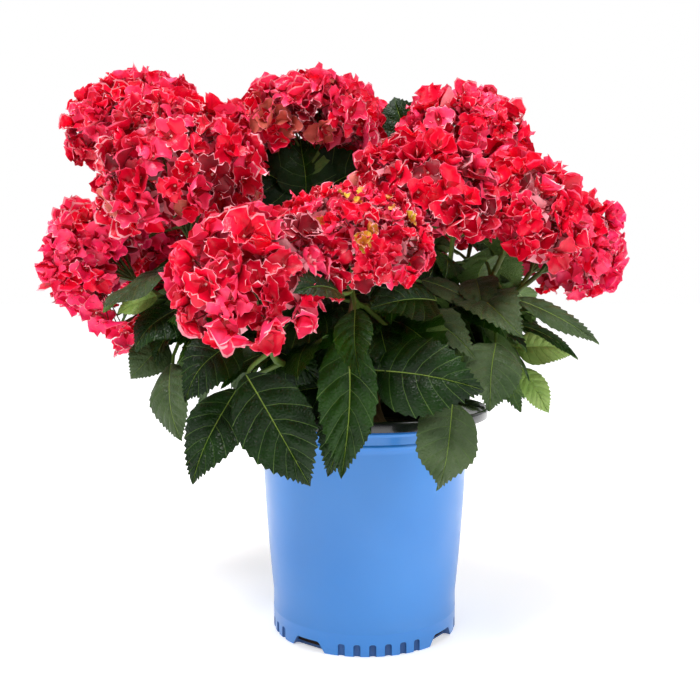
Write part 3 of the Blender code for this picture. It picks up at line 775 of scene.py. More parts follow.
    def make(self) -> None:
        """Builds the shell and the lining."""
        cutter = self.cutters()
        # The cutters carry the darker blue that paints shade into the flutes and notches.
        cutter.data.materials.append(POT_RECESS_PAINTED_SHADE.material())
        shell = turned("pot_shell", self.shell_profile(), self.sides)
        shell.data.materials.append(POT_BLUE.material())
        lining = turned("pot_lining", self.lining_profile(), self.sides)
        lining.data.materials.append(POT_BLACK.material())
        self.cut(shell, cutter)
        self.cut(lining, cutter)
        bpy.data.objects.remove(cutter)
        settle(shell, "pot_blue", "pot")
        settle(lining, "pot_black", "pot")


@dataclass
class Soil:
    """The crumbly potting mix in the pot, with chips of bark on it."""

    pot: Pot
    top: float = 0.190
    edge_drop: float = 0.003
    flat_radius: float = 0.034
    rings: int = 30
    sides: int = 96
    lumps: float = 0.0022
    lump_scale: float = 160.0
    crumb_scale: float = 420.0
    lumpy_share: float = 0.985
    chips: int = 420
    small_chip: tuple[float, float, float] = (0.0012, 0.0007, 0.0003)
    large_chip: tuple[float, float, float] = (0.0040, 0.0018, 0.0008)
    chip_sink: float = 0.0008
    chip_tilt: float = 0.3
    chip_margin: float = 0.005
    chip_unevenness: tuple[float, float] = (0.7, 1.2)

    def edge_radius(self) -> float:
        """The radius of the mix where it meets the wall."""
        return self.pot.wall_at(self.top - self.edge_drop) - 2.0 * GAP

    def height_at(self, radius: float) -> float:
        """The height of the mix before its lumps, at a distance from the middle."""
        share = max(0.0, radius - self.flat_radius) / (self.edge_radius() - self.flat_radius)
        return self.top - self.edge_drop * share

    def mix(self) -> None:
        """Builds the body of the mix."""
        bottom = self.pot.floor + GAP
        low = self.pot.wall_at(bottom) - 2.0 * GAP
        edge = self.edge_radius()
        radii = [edge * (1.0 - ring / self.rings) for ring in range(self.rings)]
        profile = [(low, bottom)] + [(radius, self.height_at(radius)) for radius in radii]
        piece = turned("potting_mix_body", profile, self.sides)
        for vertex in piece.data.vertices:
            is_inside = vertex.co.xy.length < self.lumpy_share * edge
            if is_inside and vertex.co.z > self.top - 2.0 * self.edge_drop:
                vertex.co.z -= self.lumps * abs(noise.noise(vertex.co * self.lump_scale))
                vertex.co.z -= 0.5 * self.lumps * abs(noise.noise(vertex.co * self.crumb_scale))
        piece.data.shade_smooth()
        piece.data.materials.append(SOIL.material())
        settle(piece, "soil", "soil")

    def scatter(self) -> None:
        """Lays the chips, each a small uneven block that is sunk in the mix."""
        dice = seeded("chips")
        pile = Pile()
        corners = np.array([(x, y, z) for x in (-1, 1) for y in (-1, 1) for z in (-1, 1)], float)
        faces = np.array([
            (0, 1, 3), (0, 3, 2), (4, 6, 7), (4, 7, 5), (0, 4, 5), (0, 5, 1),
            (2, 3, 7), (2, 7, 6), (0, 2, 6), (0, 6, 4), (1, 5, 7), (1, 7, 3),
        ])
        for _ in range(self.chips):
            size = dice.uniform(self.small_chip, self.large_chip)
            chip = corners * size * dice.uniform(*self.chip_unevenness, corners.shape)
            spin = Matrix.Rotation(dice.uniform(0.0, math.tau), 3, "Z")
            turn = spin @ Matrix.Rotation(dice.uniform(-self.chip_tilt, self.chip_tilt), 3, "X")
            radius = (self.edge_radius() - self.chip_margin) * math.sqrt(dice.uniform(0.05, 1.0))
            bearing = dice.uniform(0.0, math.tau)
            height = self.height_at(radius) - self.chip_sink
            middle = (radius * math.cos(bearing), radius * math.sin(bearing), height)
            pile.add(chip @ np.array(turn).T + middle, faces, int(dice.integers(2)))
        settle(pile.build("bark_chips", (BARK_CHIP, SOIL)), "soil", "soil")

    def make(self) -> None:
        """Builds the mix and its chips."""
        self.mix()
        self.scatter()


@dataclass
class Trunk:
    """The short woody stem, from its flat cut at the soil to its domed fork."""

    soil: Soil
    dome_radius: float = 0.020
    dome_height: float = 0.226
    waist: float = 0.017
    flare: float = 0.027
    lean: float = 0.06
    sides: int = 48
    ridges: int = 9
    ridge_depth: float = 0.0010
    ridge_twist: float = 3.0
    bark_scale: float = 180.0
    least_radius: float = 0.004

    def foot(self) -> float:
        """The height of the flat cut."""
        return self.soil.top + GAP

    def fork(self) -> Vector:
        """The middle of the domed fork."""
        return Vector((-self.lean * (self.dome_height - self.foot()), 0.0, self.dome_height))

    def profile(self) -> list[tuple[float, float]]:
        """The stem's section, from its cut up to its top.

        Returns:
            Its (radius, height) points.
        """
        foot, steps = self.foot(), 14
        points = []
        for step in range(steps + 1):
            share = step / steps
            root = (1.0 - share) ** 3 * (self.flare - self.waist)
            swell = share**3 * (self.dome_radius - self.waist)
            points.append((self.waist + root + swell, foot + (self.dome_height - foot) * share))
        for angle in (15, 30, 45, 60, 74, 86):
            slope = math.radians(angle)
            height = self.dome_height + self.dome_radius * math.sin(slope)
            points.append((self.dome_radius * math.cos(slope), height))
        return points

    def make(self) -> None:
        """Builds the stem with its ridged bark and its lean."""
        piece = turned("trunk", self.profile(), self.sides)
        foot = self.foot()
        for vertex in piece.data.vertices:
            bearing = math.atan2(vertex.co.y, vertex.co.x)
            rise = (vertex.co.z - foot) / (self.dome_height - foot)
            wave = math.sin(self.ridges * bearing + self.ridge_twist * rise)
            wave += 2.0 * noise.noise(vertex.co * self.bark_scale)
            radius = vertex.co.xy.length
            scale = 1.0 - self.ridge_depth * (1.5 + 0.5 * wave) / max(radius, self.least_radius)
            vertex.co.x = vertex.co.x * scale - self.lean * (min(vertex.co.z, self.dome_height) - foot)
            vertex.co.y *= scale
        piece.data.shade_smooth()
        piece.data.materials.append(OLD_BARK.material())
        settle(piece, "bark", "main_stem")


# Flower heads


class Character(Enum):
    """How a flower head has grown: its shares of each red, in the order of Petal."""

    FRESH = (50, 22, 28, 0, 0, 0, 0)
    WEATHERED = (44, 20, 29, 0, 1, 6, 0)
    DARK = (44, 26, 20, 0, 7, 3, 0)
    PINK = (20, 4, 30, 46, 0, 0, 0)
    YOUNG = (40, 30, 12, 0, 2, 0, 20)
    DEEP = (42, 42, 16, 0, 3, 0, 0)
    ROSY = (36, 8, 50, 0, 0, 4, 0)


@dataclass(frozen=True)
class Head:
    """A flower head: a flattened dome on a leaning axis.

    Its centre is in metres, and its bearing and lean are in degrees from +X and from upright. Its
    sepals grow from one length at its crown to another at its skirt. Its fullness is how far out in
    the dome its florets sit, and its strays are places of florets that hang clear of the dome.
    """

    name: str
    centre: tuple[float, float, float]
    radius: float
    above: float
    below: float
    bearing: float
    lean: float
    character: Character = Character.FRESH
    crown_sepal: float = 0.0182
    skirt_sepal: float = 0.0182
    footprint: float = 0.00056
    fullness: float = 0.80
    strays: tuple[tuple[float, float, float], ...] = ()
    foot_below: float = 0.004

    def axis(self) -> Vector:
        """The way that the head looks."""
        return direction(self.bearing, 90 - self.lean)

    def frame(self) -> Matrix:
        """The turn that takes +Z to the head's axis."""
        return UP.rotation_difference(self.axis()).to_matrix()

    def foot(self) -> Vector:
        """Where its twig ends under it."""
        return Vector(self.centre) - self.axis() * (self.below + self.foot_below)

    def on_dome(self, slopes: np.ndarray, turns: np.ndarray) -> tuple[np.ndarray, np.ndarray]:
        """Places on the dome, and its normals there.

        Args:
            slopes: angles from the axis.
            turns: angles about the axis.

        Returns:
            Places from the centre, and unit normals, each (count, 3).
        """
        heights = np.where(np.cos(slopes) >= 0.0, self.above, self.below)
        flat = np.sin(slopes) * self.radius
        local = np.stack([flat * np.cos(turns), flat * np.sin(turns), heights * np.cos(slopes)], -1)
        normals = local / np.stack([np.full(len(slopes), self.radius)] * 2 + [heights], -1) ** 2
        normals /= np.linalg.norm(normals, axis=1, keepdims=True)
        turn = np.array(self.frame()).T
        return local @ turn, normals @ turn

    def depths(self, places: np.ndarray) -> np.ndarray:
        """How far out places lie in the dome: 0 at its middle and 1 on its surface.

        Args:
            places: the places, (count, 3).

        Returns:
            A share for each.
        """
        local = (places - np.array(self.centre)) @ np.array(self.frame())
        heights = np.where(local[:, 2] >= 0.0, self.above, self.below)
        flat = (local[:, 0] ** 2 + local[:, 1] ** 2) / self.radius**2
        return np.sqrt(flat + (local[:, 2] / heights) ** 2)


# Where the florets sit that hang clear of the head at the far left.

LOOSE_FLORETS = (
    (-0.226, -0.064, 0.294),
    (-0.210, -0.070, 0.285),
    (-0.238, -0.058, 0.302),
    (-0.202, -0.062, 0.298),
    (-0.216, -0.052, 0.276),
)

# Each head's name, its centre, its radius, its height above and below the centre, its bearing and lean.

HEADS = {
    head.name: head
    for head in (
        Head(
            "high_left", (-0.230, 0.070, 0.488), 0.081, 0.053, 0.038, 170, 17, Character.ROSY,
            fullness=0.74,
        ),
        Head(
            "left", (-0.160, -0.070, 0.410), 0.072, 0.078, 0.060, 240, 12, Character.WEATHERED,
            fullness=0.84,
        ),
        Head(
            "far_left", (-0.240, -0.030, 0.350), 0.058, 0.056, 0.048, 188, 56, Character.PINK,
            fullness=0.74, strays=LOOSE_FLORETS,
        ),
        Head(
            "top", (-0.055, 0.010, 0.470), 0.079, 0.052, 0.044, 100, 6, Character.WEATHERED,
            fullness=0.79,
        ),
        Head("low_front", (-0.084, -0.190, 0.324), 0.061, 0.056, 0.046, 250, 28, Character.DEEP),
        Head(
            "front", (-0.011, -0.146, 0.360), 0.066, 0.042, 0.034, 275, 24, Character.YOUNG,
            crown_sepal=0.0105, skirt_sepal=0.0165, footprint=0.00034,
        ),
        Head(
            "top_right", (0.101, 0.060, 0.468), 0.070, 0.054, 0.046, 40, 10, Character.ROSY,
            fullness=0.79,
        ),
        Head("front_right", (0.048, -0.080, 0.400), 0.065, 0.052, 0.044, 290, 20, Character.DARK),
        Head("right", (0.140, -0.034, 0.386), 0.062, 0.056, 0.048, 330, 26),
        Head(
            "far_right", (0.197, 0.014, 0.361), 0.052, 0.052, 0.048, 0, 50, Character.PINK,
            fullness=0.76,
        ),
        Head("back_left", (-0.150, 0.150, 0.425), 0.070, 0.056, 0.050, 135, 24),
        Head("far_back_left", (-0.206, 0.118, 0.342), 0.058, 0.054, 0.046, 150, 48, Character.PINK),
        Head("top_back", (0.002, 0.128, 0.462), 0.072, 0.056, 0.050, 90, 12, Character.DARK),
        Head("back_right", (0.130, 0.160, 0.412), 0.066, 0.056, 0.048, 60, 26, Character.WEATHERED),
        Head("far_back_right", (0.198, 0.112, 0.366), 0.056, 0.052, 0.046, 30, 42),
        Head("low_back_left", (-0.085, 0.222, 0.352), 0.062, 0.054, 0.046, 110, 36),
        Head("low_back_right", (0.050, 0.228, 0.338), 0.060, 0.054, 0.046, 80, 40, Character.PINK),
    )
}


@dataclass
class Sepal:
    """The toothed, pointed and curled lobe that florets are made of, as a grid of points."""

    row_count: int = 9
    columns: tuple[float, ...] = (-1.0, -0.95, -0.74, -0.38, 0.0, 0.38, 0.74, 0.95, 1.0)
    outline_at: tuple[float, ...] = (0.0, 0.10, 0.25, 0.45, 0.62, 0.78, 0.90, 1.0)
    outline: tuple[float, ...] = (0.12, 0.44, 0.84, 1.0, 0.93, 0.64, 0.30, 0.0)
    tooth: float = 0.17
    tooth_lean: float = 0.06
    base_rows: int = 2

    def __post_init__(self) -> None:
        """Works out the triangles, which all sepals share."""
        self.numbers = pinched(self.row_count, len(self.columns))
        self.faces, row_strip, column_strip = grid_triangles(self.numbers)
        # The lip strips take a paler shade: partly the sepals' own margins, partly painted highlight.
        edge = (column_strip == 0) | (column_strip == len(self.columns) - 2)
        self.is_lip = edge & (row_strip >= self.base_rows)
        # The base rows take the darker red, painted shade.
        self.is_shaded_base = row_strip < self.base_rows

    def points_each(self) -> int:
        """How many points one sepal has."""
        return int(self.numbers[-1, 0]) + 1

    def shape(self, dice: np.random.Generator, lengths: np.ndarray) -> np.ndarray:
        """Many sepals, each curled and waved its own way.

        Args:
            dice: the head's dice.
            lengths: each sepal's length.

        Returns:
            Points (count, rows, columns, 3): outward, across and up from the floret's middle.
        """

        def draw(low: float, high: float) -> np.ndarray:
            """One random number for each sepal."""
            return dice.uniform(low, high, (len(lengths), 1, 1))

        at = np.linspace(0.0, 1.0, self.row_count)
        rows = at[None, :, None]
        columns = np.array(self.columns)[None, None, :]
        on_left = columns < 0.0
        size = lengths[:, None, None]
        slope = draw(0.20, 1.15) + (draw(-1.2, 1.0) - 0.5) * rows**1.4
        step = size / (self.row_count - 1) * (rows > 0.0)
        out = np.cumsum(np.cos(slope) * step, axis=1)
        lift = np.cumsum(np.sin(slope) * step, axis=1)
        half = np.interp(at, self.outline_at, self.outline)[None, :, None] * draw(0.44, 0.58) * size
        is_peak = (np.arange(self.row_count) % 2 == 1)[None, :, None]
        bite = draw(0.3, 1.5) * (rows > 0.3) * np.abs(columns) ** 10
        lip = np.abs(columns) ** 4 * np.where(on_left, draw(-0.5, 0.9), draw(-0.5, 0.9))
        cup = draw(-0.2, 0.9) * columns**2
        phase = np.where(on_left, draw(0.0, math.tau), draw(0.0, math.tau))
        ripple = draw(0.10, 0.42) * np.abs(columns) ** 1.6 * np.sin(rows * draw(4.0, 10.0) + phase)
        up = half * (cup + lip + ripple)
        reach = columns * half * (1.0 + self.tooth * np.where(is_peak, bite, -bite) - 0.25 * np.abs(lip))
        along = out + self.tooth_lean * size * np.where(is_peak, bite, 0.0)
        return np.stack([along - np.sin(slope) * up, reach, lift + np.cos(slope) * up], -1)


@dataclass
class Florets:
    """Where the florets of a layer sit and look, and how far down the head each is: 0 at its crown."""

    places: np.ndarray
    normals: np.ndarray
    shares: np.ndarray

    def __len__(self) -> int:
        """How many there are."""
        return len(self.places)


@dataclass
class Bloom:
    """The florets of one head, set by the golden angle from its crown down."""

    head: Head
    sepal: Sepal
    inner_sepal: Sepal
    limit: float = math.radians(118.0)
    five_lobed: float = 0.15
    tilt: float = 0.46
    unevenness: float = 0.055
    wobble: float = 0.2
    inner_share: float = 0.74
    inner_spread: float = 1.9
    # The share of florets with the palest lips, partly their own colour and partly painted highlight.
    pale_lipped_and_highlighted: float = 0.35
    unripe_size: float = 0.6
    # Shares of florets low on the skirt that turn maroon, and where the skirt starts: partly the age of
    # those florets, partly painted shade.
    usual_shade_and_age_skirt: float = 0.03
    shade_and_age_skirt: float = 0.24
    shade_and_age_from: float = 0.66
    unripe_reach: float = 0.62
    odd_sepals: float = 0.1
    floret_sizes: tuple[float, float] = (0.80, 1.14)
    sepal_sizes: tuple[float, float] = (0.84, 1.12)
    overlap: float = 0.0006
    stray_lean: tuple[float, float, float] = (0.0, -0.04, 0.0)
    stray_share: float = 0.5
    eye_radius: float = 0.0015
    eye_lift: float = 0.8
    usual_sepal: float = 0.018
    stalk_radius: float = 0.0006
    stalk_bow: float = 0.002
    stalk_gap: float = 0.0002
    ray_radius: float = 0.0010
    rays: int = 9
    ray_spread: float = 1.35
    ray_reach: float = 0.42
    ray_root: float = 1.3
    ray_bow: float = 0.003
    hub_depth: float = 0.75
    stem_radii: tuple[float, float] = (0.0024, 0.0026)
    stem_sink: float = 0.001
    stem_points: int = 5
    stem_sides: int = 8
    ray_sides: int = 5
    stalk_sides: int = 3

    def own_space(self, places: np.ndarray) -> np.ndarray:
        """True for places that lie nearer to this head than to any other.

        Args:
            places: the places, (count, 3).

        Returns:
            True or false for each.
        """
        own = self.head.depths(places)
        free = np.ones(len(places), bool)
        for other in HEADS.values():
            if other is not self.head:
                free &= own < other.depths(places)
        return free

    def layer(self, dice: np.random.Generator, footprint: float, size: float) -> Florets:
        """Sets out one layer of florets.

        Args:
            dice: the head's dice.
            footprint: the dome's area for each floret.
            size: the layer's share of the outer layer's size.

        Returns:
            The florets that no other head has the room of.
        """
        head = self.head
        area = math.tau * head.radius * 0.5 * (head.radius + head.above) * (1.0 - math.cos(self.limit))
        count = round(area / footprint)
        index = np.arange(count)
        slopes = np.arccos(1.0 - (1.0 - math.cos(self.limit)) * (index + 0.5) / count)
        turns = index * GOLDEN_ANGLE + dice.uniform(-self.wobble, self.wobble, count)
        places, normals = head.on_dome(slopes, turns)
        depth = head.fullness + dice.uniform(-self.unevenness, self.unevenness, (count, 1))
        places = np.array(head.centre) + places * size * depth
        free = self.own_space(places)
        normals = normals + dice.uniform(-self.tilt, self.tilt, (count, 3))
        normals /= np.linalg.norm(normals, axis=1, keepdims=True)
        return Florets(places[free], normals[free], slopes[free] / self.limit)

    def with_strays(self, florets: Florets) -> Florets:
        """Adds the florets that hang clear of the dome.

        Args:
            florets: those of the dome.

        Returns:
            All of them.
        """
        if not self.head.strays:
            return florets
        places = np.array(self.head.strays)
        normals = places - np.array(self.head.centre) + self.stray_lean
        normals /= np.linalg.norm(normals, axis=1, keepdims=True)
        return Florets(
            np.concatenate([florets.places, places]),
            np.concatenate([florets.normals, normals]),
            np.concatenate([florets.shares, np.full(len(places), self.stray_share)]),
        )

    def reds(self, dice: np.random.Generator, florets: Florets) -> np.ndarray:
        """Deals each floret its red: unripe ones only near the crown, and more dark ones at the skirt,
        partly for their age and partly as painted shade.

        Args:
            dice: the head's dice.
            florets: where they sit.

        Returns:
            The finish number of each.
        """
        petals = list(Petal)
        shares = np.array(self.head.character.value, float)
        dealt = dice.choice(len(petals), len(florets), p=shares / shares.sum())
        late = (dealt == petals.index(Petal.UNRIPE)) & (florets.shares > self.unripe_reach)
        dealt[late] = petals.index(Petal.SCARLET)
        # Maroon florets low on the skirt, more on dark heads: partly their age, partly painted shade.
        shade_and_age = self.shade_and_age_skirt if self.head.character is Character.DARK else self.usual_shade_and_age_skirt
        dark = (florets.shares > self.shade_and_age_from) & (dice.random(len(florets)) < shade_and_age)
        dealt[dark] = petals.index(Petal.MAROON)
        return dealt

    def petals(
        self,
        pile: Pile,
        dice: np.random.Generator,
        florets: Florets,
        sepal: Sepal,
        reds: np.ndarray,
    ) -> None:
        """Adds the sepals of a layer of florets.

        Args:
            pile: the head's pile.
            dice: the head's dice.
            florets: where they sit and look.
            sepal: the sepals' form.
            reds: the finish number of each floret.
        """
        unripe = FLORET_FINISHES.index(Petal.UNRIPE)
        base = FLORET_FINISHES.index(PetalPart.BASE)
        rosy_lip = FLORET_FINISHES.index(PetalPart.ROSY_LIP)
        pale_lip = FLORET_FINISHES.index(PetalPart.PALE_LIP)
        lobes = np.where(dice.random(len(florets)) < self.five_lobed, 5, 4)
        owner = np.repeat(np.arange(len(florets)), lobes)
        rank = np.concatenate([np.arange(number) for number in lobes])
        spin = dice.uniform(0.0, math.tau, len(florets))[owner]
        wobbles = dice.uniform(-self.wobble, self.wobble, len(owner))
        bearing = spin + rank * math.tau / lobes[owner] + wobbles
        head = self.head
        grown = head.crown_sepal + (head.skirt_sepal - head.crown_sepal) * florets.shares**1.5
        grown = np.where(reds == unripe, self.unripe_size, 1.0) * grown
        lengths = (grown * dice.uniform(*self.floret_sizes, len(florets)))[owner]
        lengths = lengths * dice.uniform(*self.sepal_sizes, len(owner))
        local = sepal.shape(dice, lengths)
        normal = florets.normals[owner]
        helper = np.where(np.abs(normal[:, 2:]) > 0.9, (1.0, 0.0, 0.0), (0.0, 0.0, 1.0))
        first = np.cross(helper, normal)
        first /= np.linalg.norm(first, axis=1, keepdims=True)
        second = np.cross(normal, first)
        out = np.cos(bearing)[:, None] * first + np.sin(bearing)[:, None] * second
        side = np.cross(out, normal)
        level = normal * (self.overlap * (rank % 2))[:, None]
        grid = (florets.places[owner] + level)[:, None, None, :]
        for part, way in enumerate((out, side, normal)):
            grid = grid + local[..., part : part + 1] * way[:, None, None]
        faces = sepal.faces[None] + (np.arange(len(owner)) * sepal.points_each())[:, None, None]
        own = reds[owner]
        red = np.where(dice.random(len(owner)) < self.odd_sepals, dice.permutation(own), own)
        slots = np.broadcast_to(red[:, None], (len(owner), len(sepal.faces))).copy()
        # Lips take a paler shade, partly the sepals' own margins and partly painted highlight.
        pale = dice.random(len(florets)) < self.pale_lipped_and_highlighted
        # The base rows take a darker red: painted shade at the floret's middle.
        slots[:, sepal.is_shaded_base] = np.where(red == unripe, red, base)[:, None]
        slots[:, sepal.is_lip] = np.where(pale, pale_lip, rosy_lip)[owner][:, None]
        pile.add(pinched_points(grid), faces.reshape(-1, 3), slots.ravel())

    def eyes(self, pile: Pile, florets: Florets, radius: float) -> None:
        """Adds the small button in the middle of each floret.

        Args:
            pile: the head's pile.
            florets: where they sit and look.
            radius: a button's radius.
        """
        corners = np.array([(1, 0, 0), (0, 1, 0), (-1, 0, 0), (0, -1, 0), (0, 0, 1), (0, 0, -1)], float)
        faces = np.array([
            (0, 1, 4), (1, 2, 4), (2, 3, 4), (3, 0, 4),
            (1, 0, 5), (2, 1, 5), (3, 2, 5), (0, 3, 5),
        ])
        middles = florets.places + florets.normals * (self.eye_lift * radius)
        numbers = faces[None] + (np.arange(len(florets)) * len(corners))[:, None, None]
        eye = FLORET_FINISHES.index(PetalPart.EYE)
        pile.add(middles[:, None] + corners[None] * radius, numbers.reshape(-1, 3), eye)

    def stalks(self, dice: np.random.Generator, florets: Florets) -> bpy.types.Object:
        """Builds the head's stalk, its rays and the fine stalk of each floret.

        Args:
            dice: the head's dice.
            florets: where they sit and look.

        Returns:
            The piece.
        """
        head = self.head
        axis = np.array(head.axis())
        hub = np.array(head.centre) - axis * (self.hub_depth * head.below)
        pile = Pile()
        stem = np.linspace(np.array(head.foot()) - axis * self.stem_sink, hub, self.stem_points)
        radii = np.linspace(*self.stem_radii, self.stem_points)
        pile.add(*tube(stem, radii, self.stem_sides), 1)
        index = np.arange(self.rays)
        slopes = np.arccos(1.0 - self.ray_spread * (index + 0.5) / self.rays)
        tips, _ = head.on_dome(slopes, index * GOLDEN_ANGLE)
        tips = np.array(head.centre) + tips * self.ray_reach
        for tip in tips:
            middle = hub + (tip - hub) * 0.5 + axis * self.ray_bow
            radii = np.linspace(self.ray_radius * self.ray_root, self.ray_radius, 3)
            pile.add(*tube(np.stack([hub, middle, tip]), radii, self.ray_sides), 1)
        for place, normal in zip(florets.places, florets.normals):
            start = tips[np.argmin(np.linalg.norm(tips - place, axis=1))]
            middle = 0.5 * (start + place) - normal * self.stalk_bow
            middle = middle + dice.uniform(-self.stalk_bow, self.stalk_bow, 3)
            line = np.stack([start, middle, place - normal * self.stalk_gap])
            pile.add(*tube(line, np.full(3, self.stalk_radius), self.stalk_sides), 0)
        return pile.build("stalks_" + head.name, (STALK_ROSE, STALK_GREEN))

    def make(self) -> None:
        """Builds the head's florets and stalks."""
        head = self.head
        dice = seeded("bloom " + head.name)
        pile = Pile()
        outer = self.with_strays(self.layer(dice, head.footprint, 1.0))
        self.petals(pile, dice, outer, self.sepal, self.reds(dice, outer))
        self.eyes(pile, outer, self.eye_radius * head.crown_sepal / self.usual_sepal)
        inner = self.layer(dice, head.footprint * self.inner_spread, self.inner_share)
        # The inner layer is dealt only crimson and maroon: painted shade inside the head.
        deep = [FLORET_FINISHES.index(tint) for tint in (Petal.CRIMSON, Petal.MAROON)]
        self.petals(pile, dice, inner, self.inner_sepal, dice.choice(deep, len(inner)))
        finishes = [tint.value for tint in FLORET_FINISHES]
        settle(pile.build("head_" + head.name, finishes), "bloom", "bloom_" + head.name)
        settle(self.stalks(dice, outer), "bloom", "bloom_" + head.name)


# Leafy shoots


@dataclass(frozen=True)
class LeafPlan:
    """Where a leaf grows: its petiole's root, the two ends of its blade, its width and its face."""

    root: Vector
    base: Vector
    tip: Vector
    width: float
    face: Vector
    arch: float = 0.08
    tint: LeafTint | None = None


@dataclass
class LeafPattern:
    """The veined and toothed blade, whose rows run along its side veins from the midrib to the margin."""

    veins: int = 8
    slant: float = 0.23
    shoulder: float = 0.70
    point: float = 0.95
    columns: tuple[float, ...] = (0.34, 0.64, 0.86, 1.0)
    back_columns: tuple[float, ...] = (0.64, 0.86)
    first_vein: float = 0.05
    last_vein: float = 0.88
    vein_half: float = 0.0025
    tooth: float = 0.009
    tooth_lean: float = 0.012
    quilt: float = 0.016
    fold: float = 0.14
    rib: float = 0.00058
    rib_taper: float = 0.75
    groove: float = 0.0006
    usual_length: float = 0.1
    thickness: float = 0.0009

    def __post_init__(self) -> None:
        """Works out the rows and the triangles, which all blades share."""
        rows = [(0.0, 0.0, 0.0), (0.018, -0.5, 0.2)]
        gap = (self.last_vein - self.first_vein) / (self.veins - 1)
        vein_rows = []
        for vein in range(self.veins):
            middle = self.first_vein + vein * gap
            vein_rows.append(len(rows))
            rows += [(middle - self.vein_half, 1.0, -0.25), (middle + self.vein_half, 1.0, -0.25)]
            if vein < self.veins - 1:
                rows.append((middle + 0.25 * gap, -1.0, 0.7))
                rows.append((middle + 0.50 * gap, 0.8, 1.0))
                rows.append((middle + 0.75 * gap, -1.0, 0.7))
        rows += [(0.945, -0.6, 0.4), (1.0, 0.0, 0.0)]
        self.midrib, self.teeth, self.quilts = (np.array(column) for column in zip(*rows))
        self.margin = self.midrib + self.slant * np.sin(math.pi * self.midrib)
        top = pinched(len(rows), 2 * len(self.columns) + 3)
        faces, slots = self.dressed(top, vein_rows, 0)
        back = pinched(len(rows), 2 * len(self.back_columns) + 5) + top[-1, 0] + 1
        back[:, 0], back[:, -1] = top[:, 0], top[:, -1]
        back[0], back[-1] = top[0, 0], top[-1, 0]
        back_faces, back_slots = self.dressed(back, vein_rows, 3)
        self.faces = np.concatenate([faces, back_faces[:, ::-1]])
        self.slots = np.concatenate([slots, back_slots])

    @staticmethod
    def dressed(numbers: np.ndarray, vein_rows: list[int], plain: int) -> tuple[np.ndarray, np.ndarray]:
        """The triangles of one side of the blade.

        Args:
            numbers: the point number at each row and column.
            vein_rows: the rows that side veins start at.
            plain: the finish number of the blade.

        Returns:
            The triangles and their finish numbers: 1 on side veins and 2 on the midrib.
        """
        faces, row_strip, column_strip = grid_triangles(numbers)
        is_rib = np.abs(column_strip - 0.5 * (numbers.shape[1] - 2)) < 1.0
        return faces, np.where(is_rib, 2, np.where(np.isin(row_strip, vein_rows), 1, plain))

    def half_width(self, along: np.ndarray) -> np.ndarray:
        """The outline's half width along the blade, as a share of its widest, with a drawn-out tip.

        Args:
            along: shares of the blade's length.

        Returns:
            The half width at each.
        """
        peak = self.shoulder / (self.shoulder + self.point)
        widest = peak**self.shoulder * (1.0 - peak) ** self.point
        return along**self.shoulder * (1.0 - along) ** self.point / widest * (1.0 - 0.35 * along**6)

    def shape(self, plan: LeafPlan, dice: np.random.Generator) -> np.ndarray:
        """One blade's points.

        Args:
            plan: where it grows.
            dice: its shoot's dice.

        Returns:
            The points of its upper side and then of its underside.
        """
        length = (plan.tip - plan.base).length
        way = (plan.tip - plan.base).normalized()
        normal = across(plan.face, way)
        side = way.cross(normal)
        half = 0.5 * plan.width * self.half_width(self.margin)
        rib = self.rib * (1.0 - self.rib_taper * self.midrib) * length / self.usual_length
        rib = np.minimum(rib, 0.5 * half)
        halves = dice.uniform(0.92, 1.08, 2)
        droop = dice.uniform(-0.15, 0.40, 2)
        wave = dice.uniform(0.02, 0.08, 2) * plan.width
        turns = dice.uniform(2.0, 4.2, 2) * math.pi
        phase = dice.uniform(0.0, math.tau, 2)
        tip_curl = dice.uniform(-0.04, 0.16) * length
        sway = dice.uniform(-0.06, 0.06) * length
        twist = dice.uniform(-0.45, 0.45)
        bite = self.tooth * length * dice.uniform(0.7, 1.3)

        def places(shares: np.ndarray, ribs: np.ndarray, lifts: np.ndarray) -> np.ndarray:
            """Sets out the points of one side on the bent blade.

            Args:
                shares: where each column lies across it, from -1 to 1.
                ribs: 1 for each column that starts at the midrib's edge.
                lifts: how far each point stands off the blade.

            Returns:
                The places, (rows, columns, 3).
            """
            out = np.abs(shares)
            on_side = (shares < 0.0).astype(int)
            row = self.midrib[:, None] + (self.margin - self.midrib)[:, None] * out**1.4
            reach = ribs * rib[:, None] + (half[:, None] * halves[on_side] - ribs * rib[:, None]) * out
            tooth = self.teeth[:, None] * (out == 1.0) * (half > 0.004)[:, None]
            row = row + self.tooth_lean * tooth
            reach = (reach + bite * tooth) * np.sign(shares)
            height = 4.0 * plan.arch * length * row * (1.0 - row) + self.fold * np.abs(reach)
            height = height - droop[on_side] * half[:, None] * out**2.5
            height = height + wave[on_side] * np.sin(turns[on_side] * row + phase[on_side]) * out**2
            height = height - tip_curl * np.maximum(0.0, row - 0.5) ** 2 * 4.0 + lifts
            reach = reach + sway * np.sin(math.pi * row)
            cos, sin = np.cos(twist * row), np.sin(twist * row)
            grid = np.array(plan.base) + row[..., None] * length * np.array(way)
            grid = grid + (reach * cos - height * sin)[..., None] * np.array(side)
            return grid + (reach * sin + height * cos)[..., None] * np.array(normal)

        shares, ribs = self.across_blade(self.columns)
        bulge = np.interp(np.abs(shares), (0.0, 0.34, 0.64, 0.86, 1.0), (0.0, 1.0, 0.95, 0.55, 0.0))
        lifts = self.quilt * length * self.quilts[:, None] * bulge - self.groove * (shares == 0.0)
        top = pinched_points(places(shares, ribs, lifts))
        shares, ribs = self.across_blade((*self.back_columns, 1.0))
        sink = np.interp(np.abs(shares), (0.0, 0.001, 0.6, 1.0), (2.0, 0.8, 1.3, 0.0)) * self.thickness
        ridge = 0.5 * self.thickness * (self.quilts < 0.0)[:, None] * (sink > 0.0)
        back = pinched_points(places(shares, ribs, -sink - ridge))
        return np.concatenate([top, back])

